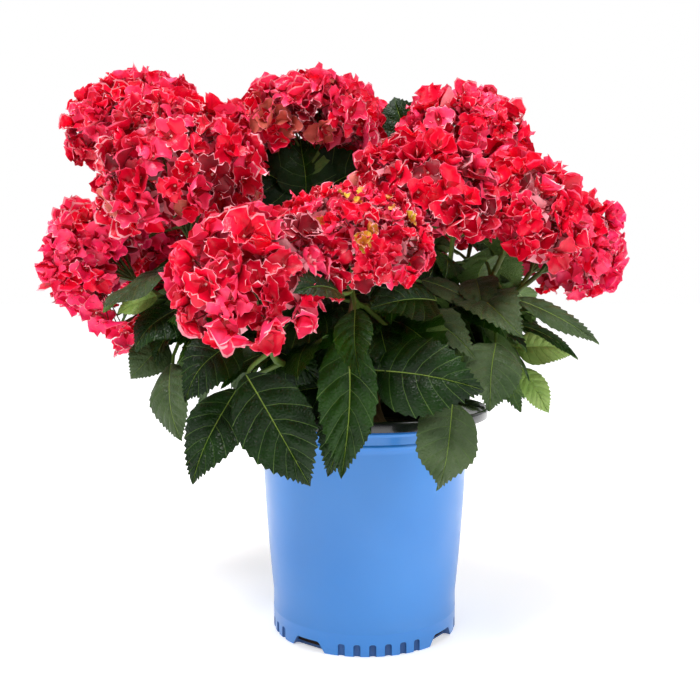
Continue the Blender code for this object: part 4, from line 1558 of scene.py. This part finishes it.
    @staticmethod
    def across_blade(columns: tuple[float, ...]) -> tuple[np.ndarray, np.ndarray]:
        """The shares of the half width that a side's points lie at.

        Args:
            columns: the shares on one half, beyond the midrib's strip.

        Returns:
            The shares from one margin to the other, and 1 for each that starts at the midrib's edge.
        """
        half = np.array((0.0001, *columns))
        shares = np.concatenate([-half[::-1], [0.0], half])
        return shares, (shares != 0.0).astype(float)


class ShootRule:
    """The sizes that the shoots grow by."""

    fork_length = 0.012
    shoot_radius = 0.0034
    twig_radius = 0.0022
    twig_root = 0.9
    bough_root_radius = 0.0050
    bough_tip_radius = 0.0038
    bough_reach = 0.42
    petiole_radius = 0.0014
    petiole_length = 0.020
    leaf_width = 0.62
    pairs = 3
    low_share, low_length, low_droop = 0.12, 0.112, 38
    high_share, high_length, high_droop = 0.78, 0.080, 12
    skirt_share, skirt_length, skirt_droop = 0.10, 0.115, 44
    skirt_spread = (-62, -20, 20, 62)
    tries = 7
    shortening = 0.93
    first_wobble, more_wobble = 0.25, 0.12
    length_spread, droop_spread, roll_spread = (0.86, 1.08), (-14, 18), (-0.9, 0.9)
    stalk_rise, stalk_along, stalk_out = 0.3, 0.5, 0.2
    blade_way, blade_out, face_out = 0.8, 0.35, 0.4
    filler_shares = (0.02, 0.24, 0.42, 0.60)
    filler_lengths = (0.085, 0.080, 0.070, 0.058)
    filler_droop = 26
    bough_shares, bough_leaf = (0.45, 0.75), 0.085
    leaf_floor = 0.150
    crown_middle_x = -0.02
    crown_low_reach, crown_high_reach = 0.165, 0.275
    crown_widening = 0.13
    front_y, front_top, front_side = -0.065, 0.25, 0.152
    tip_match = 0.0006
    rim_room, head_room = 0.006, 0.8
    bough_sink, collar_sink, twig_sink = 0.003, 0.003, 0.004
    bough_flare, flare_fall = 0.0030, 22.0
    scar_height, scar_beat = 0.0005, 38.0
    bark_grain, bark_ridge = 0.00010, 0.00022
    collar_radii = (0.0040, 0.0041, 0.0037, 0.0035)
    knot_height, knot_half = 0.0007, 0.025
    petiole_drop, petiole_lap = 0.0012, 0.006
    petiole_root, petiole_flare = 1.5, 1.25
    petiole_least, petiole_growth = 0.5, 20.0
    bough_steps, bough_sides = 36, 14
    twig_steps, twig_sides, collar_sides = 26, 10, 12
    petiole_steps, petiole_sides = 6, 6
    brown_share = 0.15
    green_shares = (0.50, 0.36, 0.12, 0.02)


# Leaves that have a given place. Each row gives the shoot, the two ends of the blade, its width, the
# bearing and rise that its face looks to, and its tint. The inner ones are in the scene alone.

SHOWN_LEAVES = (
    ("front_left", (-0.102, -0.148, 0.281), (-0.142, -0.172, 0.240), 0.046, 258, 20, LeafTint.DEEP),
    ("front_left", (-0.104, -0.138, 0.242), (-0.139, -0.156, 0.169), 0.050, 262, 12, LeafTint.DEEP),
    ("front_left", (-0.093, -0.172, 0.257), (-0.044, -0.176, 0.172), 0.058, 274, 20, LeafTint.DEEP),
    ("front_left", (-0.086, -0.130, 0.276), (-0.038, -0.138, 0.248), 0.042, 282, 30, LeafTint.DEEP),
    ("front_left", (-0.100, -0.120, 0.232), (-0.084, -0.130, 0.188), 0.036, 255, 10, LeafTint.GREEN),
    ("front", (-0.010, -0.158, 0.306), (-0.006, -0.196, 0.256), 0.030, 265, 25, LeafTint.GREEN),
    ("front", (-0.016, -0.146, 0.288), (-0.021, -0.170, 0.176), 0.046, 268, 12, LeafTint.GREEN),
    ("front", (-0.008, -0.132, 0.250), (-0.031, -0.146, 0.172), 0.046, 280, 8, LeafTint.DEEP),
    ("front", (0.004, -0.138, 0.257), (0.088, -0.168, 0.245), 0.064, 265, 12, LeafTint.DEEP),
    ("front", (0.069, -0.130, 0.230), (0.056, -0.154, 0.163), 0.052, 285, 10, LeafTint.GREY),
    ("front", (0.058, -0.104, 0.312), (0.004, -0.140, 0.308), 0.050, 270, 30, LeafTint.DEEP),
    ("right", (0.111, -0.086, 0.276), (0.099, -0.128, 0.222), 0.052, 275, 25, LeafTint.GREY),
    ("right", (0.128, -0.064, 0.314), (0.204, -0.076, 0.276), 0.030, 250, 62, LeafTint.GREY),
    ("right", (0.128, -0.042, 0.292), (0.189, -0.056, 0.258), 0.019, 270, 55, LeafTint.GREEN),
    ("right", (0.140, -0.020, 0.268), (0.194, -0.024, 0.266), 0.038, 270, 20, LeafTint.YOUNG),
    ("right", (0.143, -0.034, 0.250), (0.169, -0.036, 0.207), 0.026, 270, 15, LeafTint.YOUNG),
    ("left", (-0.168, -0.082, 0.258), (-0.157, -0.112, 0.196), 0.044, 245, 10, LeafTint.GREY),
    ("left", (-0.178, -0.056, 0.276), (-0.206, -0.074, 0.245), 0.040, 250, 25, LeafTint.GREY),
    ("left", (-0.160, -0.078, 0.306), (-0.196, -0.106, 0.276), 0.046, 250, 35, LeafTint.DEEP),
)

# Most inner leaves are given the darkest green because they fill dark places of the crown: painted shade.
INNER_LEAVES = (
    ("middle", (-0.052, 0.022, 0.412), (-0.136, 0.026, 0.398), 0.068, 268, 30, LeafTint.DEEP),
    ("middle", (-0.048, 0.026, 0.402), (0.026, 0.020, 0.384), 0.066, 275, 30, LeafTint.DEEP),
    ("middle", (-0.050, 0.030, 0.382), (-0.112, 0.012, 0.352), 0.060, 262, 35, LeafTint.DEEP),
    ("middle", (-0.046, 0.034, 0.372), (0.000, 0.010, 0.345), 0.058, 270, 30, LeafTint.DEEP),
    ("middle", (-0.058, 0.004, 0.410), (-0.120, -0.004, 0.444), 0.062, 268, 4, LeafTint.DEEP),
    ("middle", (-0.052, 0.004, 0.410), (0.010, -0.006, 0.442), 0.062, 272, 4, LeafTint.DEEP),
    ("middle", (-0.056, 0.002, 0.406), (-0.062, -0.008, 0.462), 0.054, 270, 2, LeafTint.DEEP),
    ("front_left", (-0.040, -0.030, 0.262), (-0.094, -0.050, 0.226), 0.050, 268, 15, LeafTint.DEEP),
    ("back_right", (0.048, 0.074, 0.456), (0.030, 0.080, 0.521), 0.056, 268, 8, LeafTint.DEEP),
    ("back_right", (0.118, 0.086, 0.462), (0.137, 0.080, 0.511), 0.026, 268, 8, LeafTint.GREEN),
    ("front", (-0.020, -0.200, 0.318), (-0.052, -0.243, 0.318), 0.027, 268, 30, LeafTint.DEEP),
    ("front_left", (-0.020, -0.045, 0.238), (-0.080, -0.060, 0.228), 0.050, 268, 12, LeafTint.DEEP),
    ("left", (-0.184, -0.060, 0.316), (-0.220, -0.062, 0.300), 0.030, 268, 30, LeafTint.YOUNG),
)

# The numbers of the grown leaves, and of the small ones inside, that aren't made, because they would
# cover leaves, stems or open places of the front.

LEFT_OUT = {
    "front_left": (0, 1),
    "front": (4, 7, 9),
    "middle": (7,),
    "right": (6, 10, 11),
    "back_right": (15,),
}
SMALL_LEFT_OUT = {
    "front_left": (5, 6, 7),
    "front": (9, 10),
    "right": (10, 13, 14, 17, 18),
    "back_right": (27,),
}


@dataclass
class Shoot:
    """A bough from the trunk's fork, the twigs that it carries to its heads, and their leaves."""

    name: str
    trunk: Trunk
    heads: tuple[str, ...]
    bearing: float
    rise: float
    pattern: LeafPattern
    plain_pattern: LeafPattern
    rule: type[ShootRule] = ShootRule

    def bough(self) -> Bend:
        """The bough's course from the fork to its tip.

        Returns:
            The course.
        """
        way = direction(self.bearing, self.rise)
        root = self.trunk.fork() + way * (self.trunk.dome_radius + GAP)
        feet = [HEADS[head].foot() for head in self.heads]
        goal = sum(feet, Vector()) / len(feet)
        tip = root + (goal - root) * self.rule.bough_reach
        return Bend(root, way, tip, (goal - tip).normalized())

    def twigs(self) -> list[Bend]:
        """The course of each twig, from the bough's tip to a head.

        Returns:
            The courses, in the order of the heads.
        """
        bough = self.bough()
        start = bough.end + bough.end_way * (GAP + self.rule.fork_length)
        return [Bend(start, bough.end_way, HEADS[head].foot(), HEADS[head].axis()) for head in self.heads]

    def placed_leaves(self, rows: Sequence[tuple]) -> Iterator[LeafPlan]:
        """The leaves of this shoot that have a given place.

        Args:
            rows: the table that gives them.

        Yields:
            Where each grows.
        """
        lines = [twig.rough() for twig in self.twigs()]
        for shoot, base, tip, width, bearing, rise, tint in rows:
            if shoot == self.name:
                base, tip = Vector(base), Vector(tip)
                roots = [nearest_on(line, base) for line in lines]
                root = min(roots, key=lambda place: (place - base).length)
                yield LeafPlan(root, base, tip, width, direction(bearing, rise), tint=tint)

    def twig_leaf(
        self,
        line: list[Vector],
        share: float,
        turn: float,
        length: float,
        droop: float,
        roll: float,
    ) -> LeafPlan:
        """One leaf of a pair.

        Args:
            line: the twig's few points.
            share: where on them it is set.
            turn: its turn about the twig.
            length: its blade's length.
            droop: how far it hangs, as an angle.
            roll: how far its face rolls aside.

        Returns:
            Where it grows.
        """
        rule = self.rule
        index = share * (len(line) - 1)
        before = min(int(index), len(line) - 2)
        start, end = line[before], line[before + 1]
        root = start + (end - start) * (index - before)
        along = (end - start).normalized()
        sideways = across(Vector((math.cos(turn), math.sin(turn), rule.stalk_rise)), along)
        outward = Vector((root.x, root.y, 0.0)).normalized()
        stalk = (sideways + along * rule.stalk_along + outward * rule.stalk_out).normalized()
        base = root + stalk * rule.petiole_length
        flat = Vector((stalk.x, stalk.y, 0.0)).normalized() * rule.blade_way + outward * rule.blade_out
        way = (flat.normalized() * math.cos(droop) - UP * math.sin(droop)).normalized()
        face = UP + outward * rule.face_out + way.cross(UP) * roll
        return LeafPlan(root, base, base + way * length, rule.leaf_width * length, face)

    def pair_slots(self, dice: random.Random) -> Iterator[LeafSlot]:
        """Where the opposite pairs are set, each turned a quarter from the last.

        Args:
            dice: the shoot's dice.

        Yields:
            The line, the share, the turn, the length and the droop of each leaf.
        """
        rule = self.rule
        for twig in self.twigs():
            first_turn = dice.uniform(0.0, math.pi)
            for pair in range(rule.pairs):
                rank = pair / (rule.pairs - 1)
                share = rule.low_share + (rule.high_share - rule.low_share) * rank
                length = rule.low_length + (rule.high_length - rule.low_length) * rank
                droop = rule.low_droop + (rule.high_droop - rule.low_droop) * rank
                for side in (0.0, math.pi):
                    yield twig.rough(), share, first_turn + pair * math.pi / 2 + side, length, droop

    def skirt_slots(self) -> Iterator[LeafSlot]:
        """Where the large low leaves are set, which hang out over the rim.

        Yields:
            The line, the share, the turn, the length and the droop of each leaf.
        """
        line = self.twigs()[0].rough()
        outward = math.atan2(line[2].y, line[2].x)
        rule = self.rule
        for spread in rule.skirt_spread:
            turn = outward + math.radians(spread)
            yield line, rule.skirt_share, turn, rule.skirt_length, rule.skirt_droop

    def keeps_to_crown(self, tip: Vector) -> bool:
        """True if a leaf's tip stays in the crown and leaves the shown leaves their place.

        Args:
            tip: the leaf's tip.

        Returns:
            Whether it does.
        """
        rule = self.rule
        share = min(1.0, max(0.0, (tip.z - rule.leaf_floor) / rule.crown_widening))
        widest = rule.crown_low_reach + (rule.crown_high_reach - rule.crown_low_reach) * share
        at_front = tip.y < rule.front_y and tip.z < rule.front_top and abs(tip.x) < rule.front_side
        reach = math.hypot(tip.x - rule.crown_middle_x, tip.y)
        return rule.leaf_floor < tip.z and reach < widest and not at_front

    def leaf_tries(self, slot: LeafSlot, dice: random.Random) -> Iterator[LeafPlan]:
        """The ways that one leaf may turn, hang and shorten to find room.

        Args:
            slot: where it is set.
            dice: the shoot's dice.

        Yields:
            Each way that keeps to the crown.
        """
        rule = self.rule
        line, share, turn, length, droop = slot
        for attempt in range(rule.tries):
            wobble = rule.first_wobble + rule.more_wobble * attempt
            leaf = self.twig_leaf(
                line,
                share,
                turn + dice.uniform(-wobble, wobble),
                length * dice.uniform(*rule.length_spread) * rule.shortening**attempt,
                math.radians(droop + dice.uniform(*rule.droop_spread)),
                dice.uniform(*rule.roll_spread),
            )
            if self.keeps_to_crown(leaf.tip):
                yield leaf

    def grown_leaves(self, node: bpy.types.Object) -> Iterator[LeafPlan]:
        """The leaves of the pairs and the skirt that found room in the frame.

        Args:
            node: the frame's solid of this shoot, which ends at their tips.

        Yields:
            Where each grows.
        """
        tips = KDTree(len(node.data.vertices))
        for index, vertex in enumerate(node.data.vertices):
            tips.insert(vertex.co, index)
        tips.balance()
        dice = random.Random("leaves " + self.name)
        number = 0
        for slot in list(self.skirt_slots()) + list(self.pair_slots(dice)):
            tries = list(self.leaf_tries(slot, dice))
            for leaf in tries:
                if tips.find(leaf.tip)[2] < self.rule.tip_match:
                    if number not in LEFT_OUT.get(self.name, ()):
                        yield leaf
                    number += 1
                    break

    def filler_slots(self) -> Iterator[LeafSlot]:
        """Where the small leaves inside the crown are set, on the bough and low on the twigs.

        Yields:
            The line, the share, the turn, the length and the droop of each leaf.
        """
        rule = self.rule
        turn = 0.0
        for share in rule.bough_shares:
            for side in (0.0, math.pi):
                yield self.bough().rough(), share, turn + side, rule.bough_leaf, rule.filler_droop
            turn += math.pi / 2
        for twig in self.twigs():
            for share, length in zip(rule.filler_shares, rule.filler_lengths):
                turn += GOLDEN_ANGLE
                for side in (0.0, math.pi):
                    yield twig.rough(), share, turn + side, length, rule.filler_droop

    def has_room(self, leaf: LeafPlan) -> bool:
        """True if a leaf stays clear of the pot's rim and out of the flower heads.

        Args:
            leaf: where it grows.

        Returns:
            Whether it does.
        """
        places = [leaf.base.lerp(leaf.tip, share) for share in (0.0, 0.33, 0.67, 1.0)]
        pot = self.trunk.soil.pot
        top, reach = pot.rim_top + self.rule.rim_room, pot.rim_radius + self.rule.rim_room
        over_rim = all(place.z > top or place.xy.length > reach for place in places)
        nearest = min(head.depths(np.array(places)).min() for head in HEADS.values())
        return over_rim and nearest > self.rule.head_room

    def fillers(self) -> Iterator[LeafPlan]:
        """The small leaves that make the crown dense.

        Yields:
            Where each grows.
        """
        dice = random.Random("fillers " + self.name)
        number = 0
        for slot in self.filler_slots():
            for leaf in self.leaf_tries(slot, dice):
                if self.has_room(leaf):
                    if number not in SMALL_LEFT_OUT.get(self.name, ()):
                        yield leaf
                    number += 1
                    break

    def wood(self) -> None:
        """Builds the bough with its bark."""
        rule = self.rule
        bough = self.bough()
        steps, sides = rule.bough_steps, rule.bough_sides
        line = bough.fine(steps)
        line[0] -= np.array(bough.start_way) * rule.bough_sink
        dice = seeded("bark " + self.name)
        share = np.linspace(0.0, 1.0, steps + 1)[:, None]
        radii = rule.bough_root_radius + (rule.bough_tip_radius - rule.bough_root_radius) * share
        radii = radii + rule.bough_flare * np.exp(-share * rule.flare_fall)
        radii = radii + rule.scar_height * np.cos(share * rule.scar_beat) ** 12
        radii = radii + dice.normal(0.0, rule.bark_grain, (steps + 1, sides))
        radii = radii + dice.normal(0.0, rule.bark_ridge, (1, sides))
        pile = Pile()
        pile.add(*tube(line, radii, sides), 0)
        settle(pile.build("limb_" + self.name, (OLD_BARK,)), "bark", "bough_" + self.name)

    def greenwood(self, leaves: Sequence[LeafPlan]) -> None:
        """Builds the twigs and the petioles.

        Args:
            leaves: the leaves that the petioles carry.
        """
        rule = self.rule
        pile = Pile()
        bough = self.bough()
        dice = seeded("twigs " + self.name)
        collar_foot = np.array(bough.end - bough.end_way * rule.collar_sink)
        collar_top = np.array(bough.end + bough.end_way * rule.fork_length)
        collar_radii = np.array(rule.collar_radii)
        collar = np.linspace(collar_foot, collar_top, len(collar_radii))
        pile.add(*tube(collar, collar_radii, rule.collar_sides), 1)
        steps = rule.twig_steps
        for twig in self.twigs():
            line = twig.fine(steps)
            line[0] -= np.array(twig.start_way) * rule.twig_sink
            share = np.linspace(0.0, 1.0, steps + 1)
            thickest = rule.twig_root * rule.shoot_radius
            radii = thickest + (rule.twig_radius - thickest) * share
            for knot in np.linspace(rule.low_share, rule.high_share, rule.pairs):
                radii = radii + rule.knot_height * np.exp(-(((share - knot) / rule.knot_half) ** 2))
            pile.add(*tube(line, radii, rule.twig_sides), 0)
        lines = [[Vector(place) for place in twig.fine(steps)] for twig in self.twigs()]
        for leaf in leaves:
            roots = [nearest_on(line, leaf.root) for line in lines]
            root = min(roots, key=lambda place: (place - leaf.root).length)
            way = (leaf.tip - leaf.base).normalized()
            span = (leaf.base - root).length
            normal = across(leaf.face, way)
            base = leaf.base - normal * rule.petiole_drop
            course = Bend(root, (leaf.base - root).normalized(), base + way * rule.petiole_lap, way)
            thick = np.linspace(rule.petiole_root, 1.0, rule.petiole_steps + 1) * rule.petiole_radius
            thick = thick * min(1.0, rule.petiole_least + span * rule.petiole_growth)
            thick[0] *= rule.petiole_flare
            petiole = tube(course.fine(rule.petiole_steps), thick, rule.petiole_sides)
            pile.add(*petiole, int(dice.random() < rule.brown_share))
        piece = pile.build("twigs_" + self.name, (TWIG_GREEN, TWIG_BROWN))
        settle(piece, "leaf", "leaves_" + self.name)

    def foliage(self, leaves: Sequence[LeafPlan], fillers: Sequence[LeafPlan]) -> None:
        """Builds the blades, each with its own green.

        Args:
            leaves: the large ones.
            fillers: the small ones inside the crown.
        """
        pile = Pile()
        dice = seeded("blades " + self.name)
        greens = [tint.value for tint in LeafTint]
        patterns = [self.pattern] * len(leaves) + [self.plain_pattern] * len(fillers)
        for leaf, pattern in zip((*leaves, *fillers), patterns):
            green = dice.choice(len(greens), p=self.rule.green_shares)
            if leaf.tint:
                green = list(LeafTint).index(leaf.tint)
            slots = np.where(pattern.slots == 0, green, pattern.slots + len(greens) - 1)
            pile.add(pattern.shape(leaf, dice), pattern.faces, slots)
        piece = pile.build("foliage_" + self.name, (*greens, LEAF_VEIN, LEAF_RIB, LEAF_BACK))
        settle(piece, "leaf", "leaves_" + self.name)

    def make(self, node: bpy.types.Object) -> None:
        """Builds the bough, the twigs and the leaves in place of the frame's solids.

        Args:
            node: the frame's solid of the foliage.
        """
        leaves = list(self.placed_leaves(SHOWN_LEAVES)) + list(self.grown_leaves(node))
        fillers = list(self.placed_leaves(INNER_LEAVES)) + list(self.fillers())
        LOG.info("%s: %d leaves and %d inside", self.name, len(leaves), len(fillers))
        self.wood()
        self.greenwood((*leaves, *fillers))
        self.foliage(leaves, fillers)


# Each shoot's name, the heads that it carries, and the bearing and rise of its bough.

SHOOTS = (
    ("front_left", ("low_front",), 245, 38),
    ("front", ("front", "front_right"), 292, 70),
    ("left", ("left", "far_left"), 190, 38),
    ("back_left", ("high_left", "back_left", "far_back_left"), 143, 38),
    ("middle", ("top", "top_back"), 112, 72),
    ("back", ("low_back_left", "low_back_right"), 93, 36),
    ("back_right", ("top_right", "back_right", "far_back_right"), 43, 38),
    ("right", ("right", "far_right"), 352, 38),
)


# Studio


@dataclass
class Studio:
    """A white room with soft light, and the camera that took the picture.

    The camera sees the room's walls white. They light the plant most from behind and above.
    """

    camera_place: tuple[float, float, float] = (-0.0139, -0.818, 0.316)
    camera_tilt: float = 4.0
    sensor: float = 36.0
    focal_pixels: float = 857.5
    picture_pixels: float = 700.0
    plant_middle: tuple[float, float, float] = (0.0, 0.0, 0.3)
    middle_row: float = 355.8
    floor_size: float = 60.0
    floor_glow_near: float = 0.44
    floor_glow: float = 0.55
    floor_glow_starts: float = 0.25
    floor_glow_full: float = 2.5
    bright_side: tuple[float, float, float] = (0.0, 0.62, 0.78)
    shaded_from: float = -0.2
    least_light: float = 0.06
    most_light: float = 0.85
    lamps: tuple[tuple, ...] = (
        ("key", (-0.8, -1.2, 2.2), 0.7, 42.0),
        ("fill", (1.3, -1.1, 1.3), 0.9, 12.0),
        ("top", (0.1, 0.0, 2.3), 0.8, 26.0),
    )

    def camera(self) -> None:
        """Sets up the camera."""
        data = bpy.data.cameras.new("camera")
        data.sensor_width = self.sensor
        data.lens = self.focal_pixels * self.sensor / self.picture_pixels
        data.shift_y = (self.middle_row - 0.5 * self.picture_pixels) / self.picture_pixels
        camera = bpy.data.objects.new("camera", data)
        camera.location = self.camera_place
        camera.rotation_euler = (math.radians(90.0 - self.camera_tilt), 0.0, 0.0)
        bpy.context.scene.collection.objects.link(camera)
        bpy.context.scene.camera = camera

    def floor(self) -> None:
        """Lays the pale floor."""
        deselect()
        bpy.ops.mesh.primitive_plane_add(size=self.floor_size, location=(0.0, 0.0, 0.0))
        floor = bpy.context.active_object
        floor.name = "floor"
        paper = Finish("floor_paper", shade(244, 244, 244), shade(248, 248, 248), 0.8, 2.0, 40.0, 0.0)
        material = paper.material()
        self.glow(material.node_tree)
        floor.data.materials.append(material)

    def glow(self, tree: bpy.types.NodeTree) -> None:
        """Makes the floor shine more away from the plant, so that it fades into the white walls.

        Args:
            tree: the floor's nodes.
        """
        shader = tree.nodes["Principled BSDF"]
        place = tree.nodes.new("ShaderNodeTexCoord")
        distance = tree.nodes.new("ShaderNodeVectorMath")
        distance.operation = "LENGTH"
        tree.links.new(place.outputs["Object"], distance.inputs[0])
        fade = tree.nodes.new("ShaderNodeMapRange")
        fade.inputs["From Min"].default_value = self.floor_glow_starts
        fade.inputs["From Max"].default_value = self.floor_glow_full
        fade.inputs["To Min"].default_value = self.floor_glow_near
        fade.inputs["To Max"].default_value = self.floor_glow
        tree.links.new(distance.outputs["Value"], fade.inputs["Value"])
        tree.links.new(fade.outputs["Result"], shader.inputs["Emission Strength"])
        shader.inputs["Emission Color"].default_value = (1.0, 1.0, 1.0, 1.0)

    def lamp(self, name: str, place: tuple[float, float, float], size: float, power: float) -> None:
        """Hangs a square soft light that looks at the plant's middle.

        Args:
            name: its name.
            place: where it hangs.
            size: the length of its side.
            power: its power in watts.
        """
        data = bpy.data.lights.new(name, "AREA")
        data.size = size
        data.energy = power
        lamp = bpy.data.objects.new(name, data)
        lamp.location = place
        way = Vector(self.plant_middle) - lamp.location
        lamp.rotation_euler = way.to_track_quat("-Z", "Y").to_euler()
        bpy.context.scene.collection.objects.link(lamp)

    def light(self) -> None:
        """Lights the room."""
        world = bpy.data.worlds.new("white_room")
        bpy.context.scene.world = world
        world.use_nodes = True
        tree = world.node_tree
        seen = tree.nodes["Background"]
        seen.inputs["Color"].default_value = (1.0, 1.0, 1.0, 1.0)
        lit = tree.nodes.new("ShaderNodeBackground")
        lit.inputs["Color"].default_value = (1.0, 1.0, 1.0, 1.0)
        way = tree.nodes.new("ShaderNodeTexCoord")
        facing = tree.nodes.new("ShaderNodeVectorMath")
        facing.operation = "DOT_PRODUCT"
        facing.inputs[1].default_value = self.bright_side
        tree.links.new(way.outputs["Generated"], facing.inputs[0])
        spread = tree.nodes.new("ShaderNodeMapRange")
        spread.inputs["From Min"].default_value = self.shaded_from
        spread.inputs["To Min"].default_value = self.least_light
        spread.inputs["To Max"].default_value = self.most_light
        tree.links.new(facing.outputs["Value"], spread.inputs["Value"])
        tree.links.new(spread.outputs["Result"], lit.inputs["Strength"])
        ray = tree.nodes.new("ShaderNodeLightPath")
        both = tree.nodes.new("ShaderNodeMixShader")
        tree.links.new(ray.outputs["Is Camera Ray"], both.inputs["Fac"])
        tree.links.new(lit.outputs["Background"], both.inputs[1])
        tree.links.new(seen.outputs["Background"], both.inputs[2])
        tree.links.new(both.outputs["Shader"], tree.nodes["World Output"].inputs["Surface"])
        for lamp in self.lamps:
            self.lamp(*lamp)
        bpy.context.scene.view_settings.view_transform = "Standard"

    def make(self) -> None:
        """Builds the room."""
        self.camera()
        self.floor()
        self.light()


def main() -> None:
    """Dresses the plant, from the pot up."""
    logging.basicConfig(level=logging.INFO, format="%(name)s: %(message)s")
    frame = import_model()
    Studio().make()
    pot = Pot()
    pot.make()
    soil = Soil(pot)
    soil.make()
    trunk = Trunk(soil)
    trunk.make()
    patterns = LeafPattern(), LeafPattern(veins=6, columns=(0.5, 1.0), back_columns=())
    for name, heads, bearing, rise in SHOOTS:
        Shoot(name, trunk, heads, bearing, rise, *patterns).make(frame["nodes"]["leaves_" + name])
    sepals = Sepal(), Sepal(row_count=5, columns=(-1.0, -0.4, 0.4, 1.0), base_rows=1)
    for head in HEADS.values():
        Bloom(head, *sepals).make()


if __name__ == "__main__":
    main()
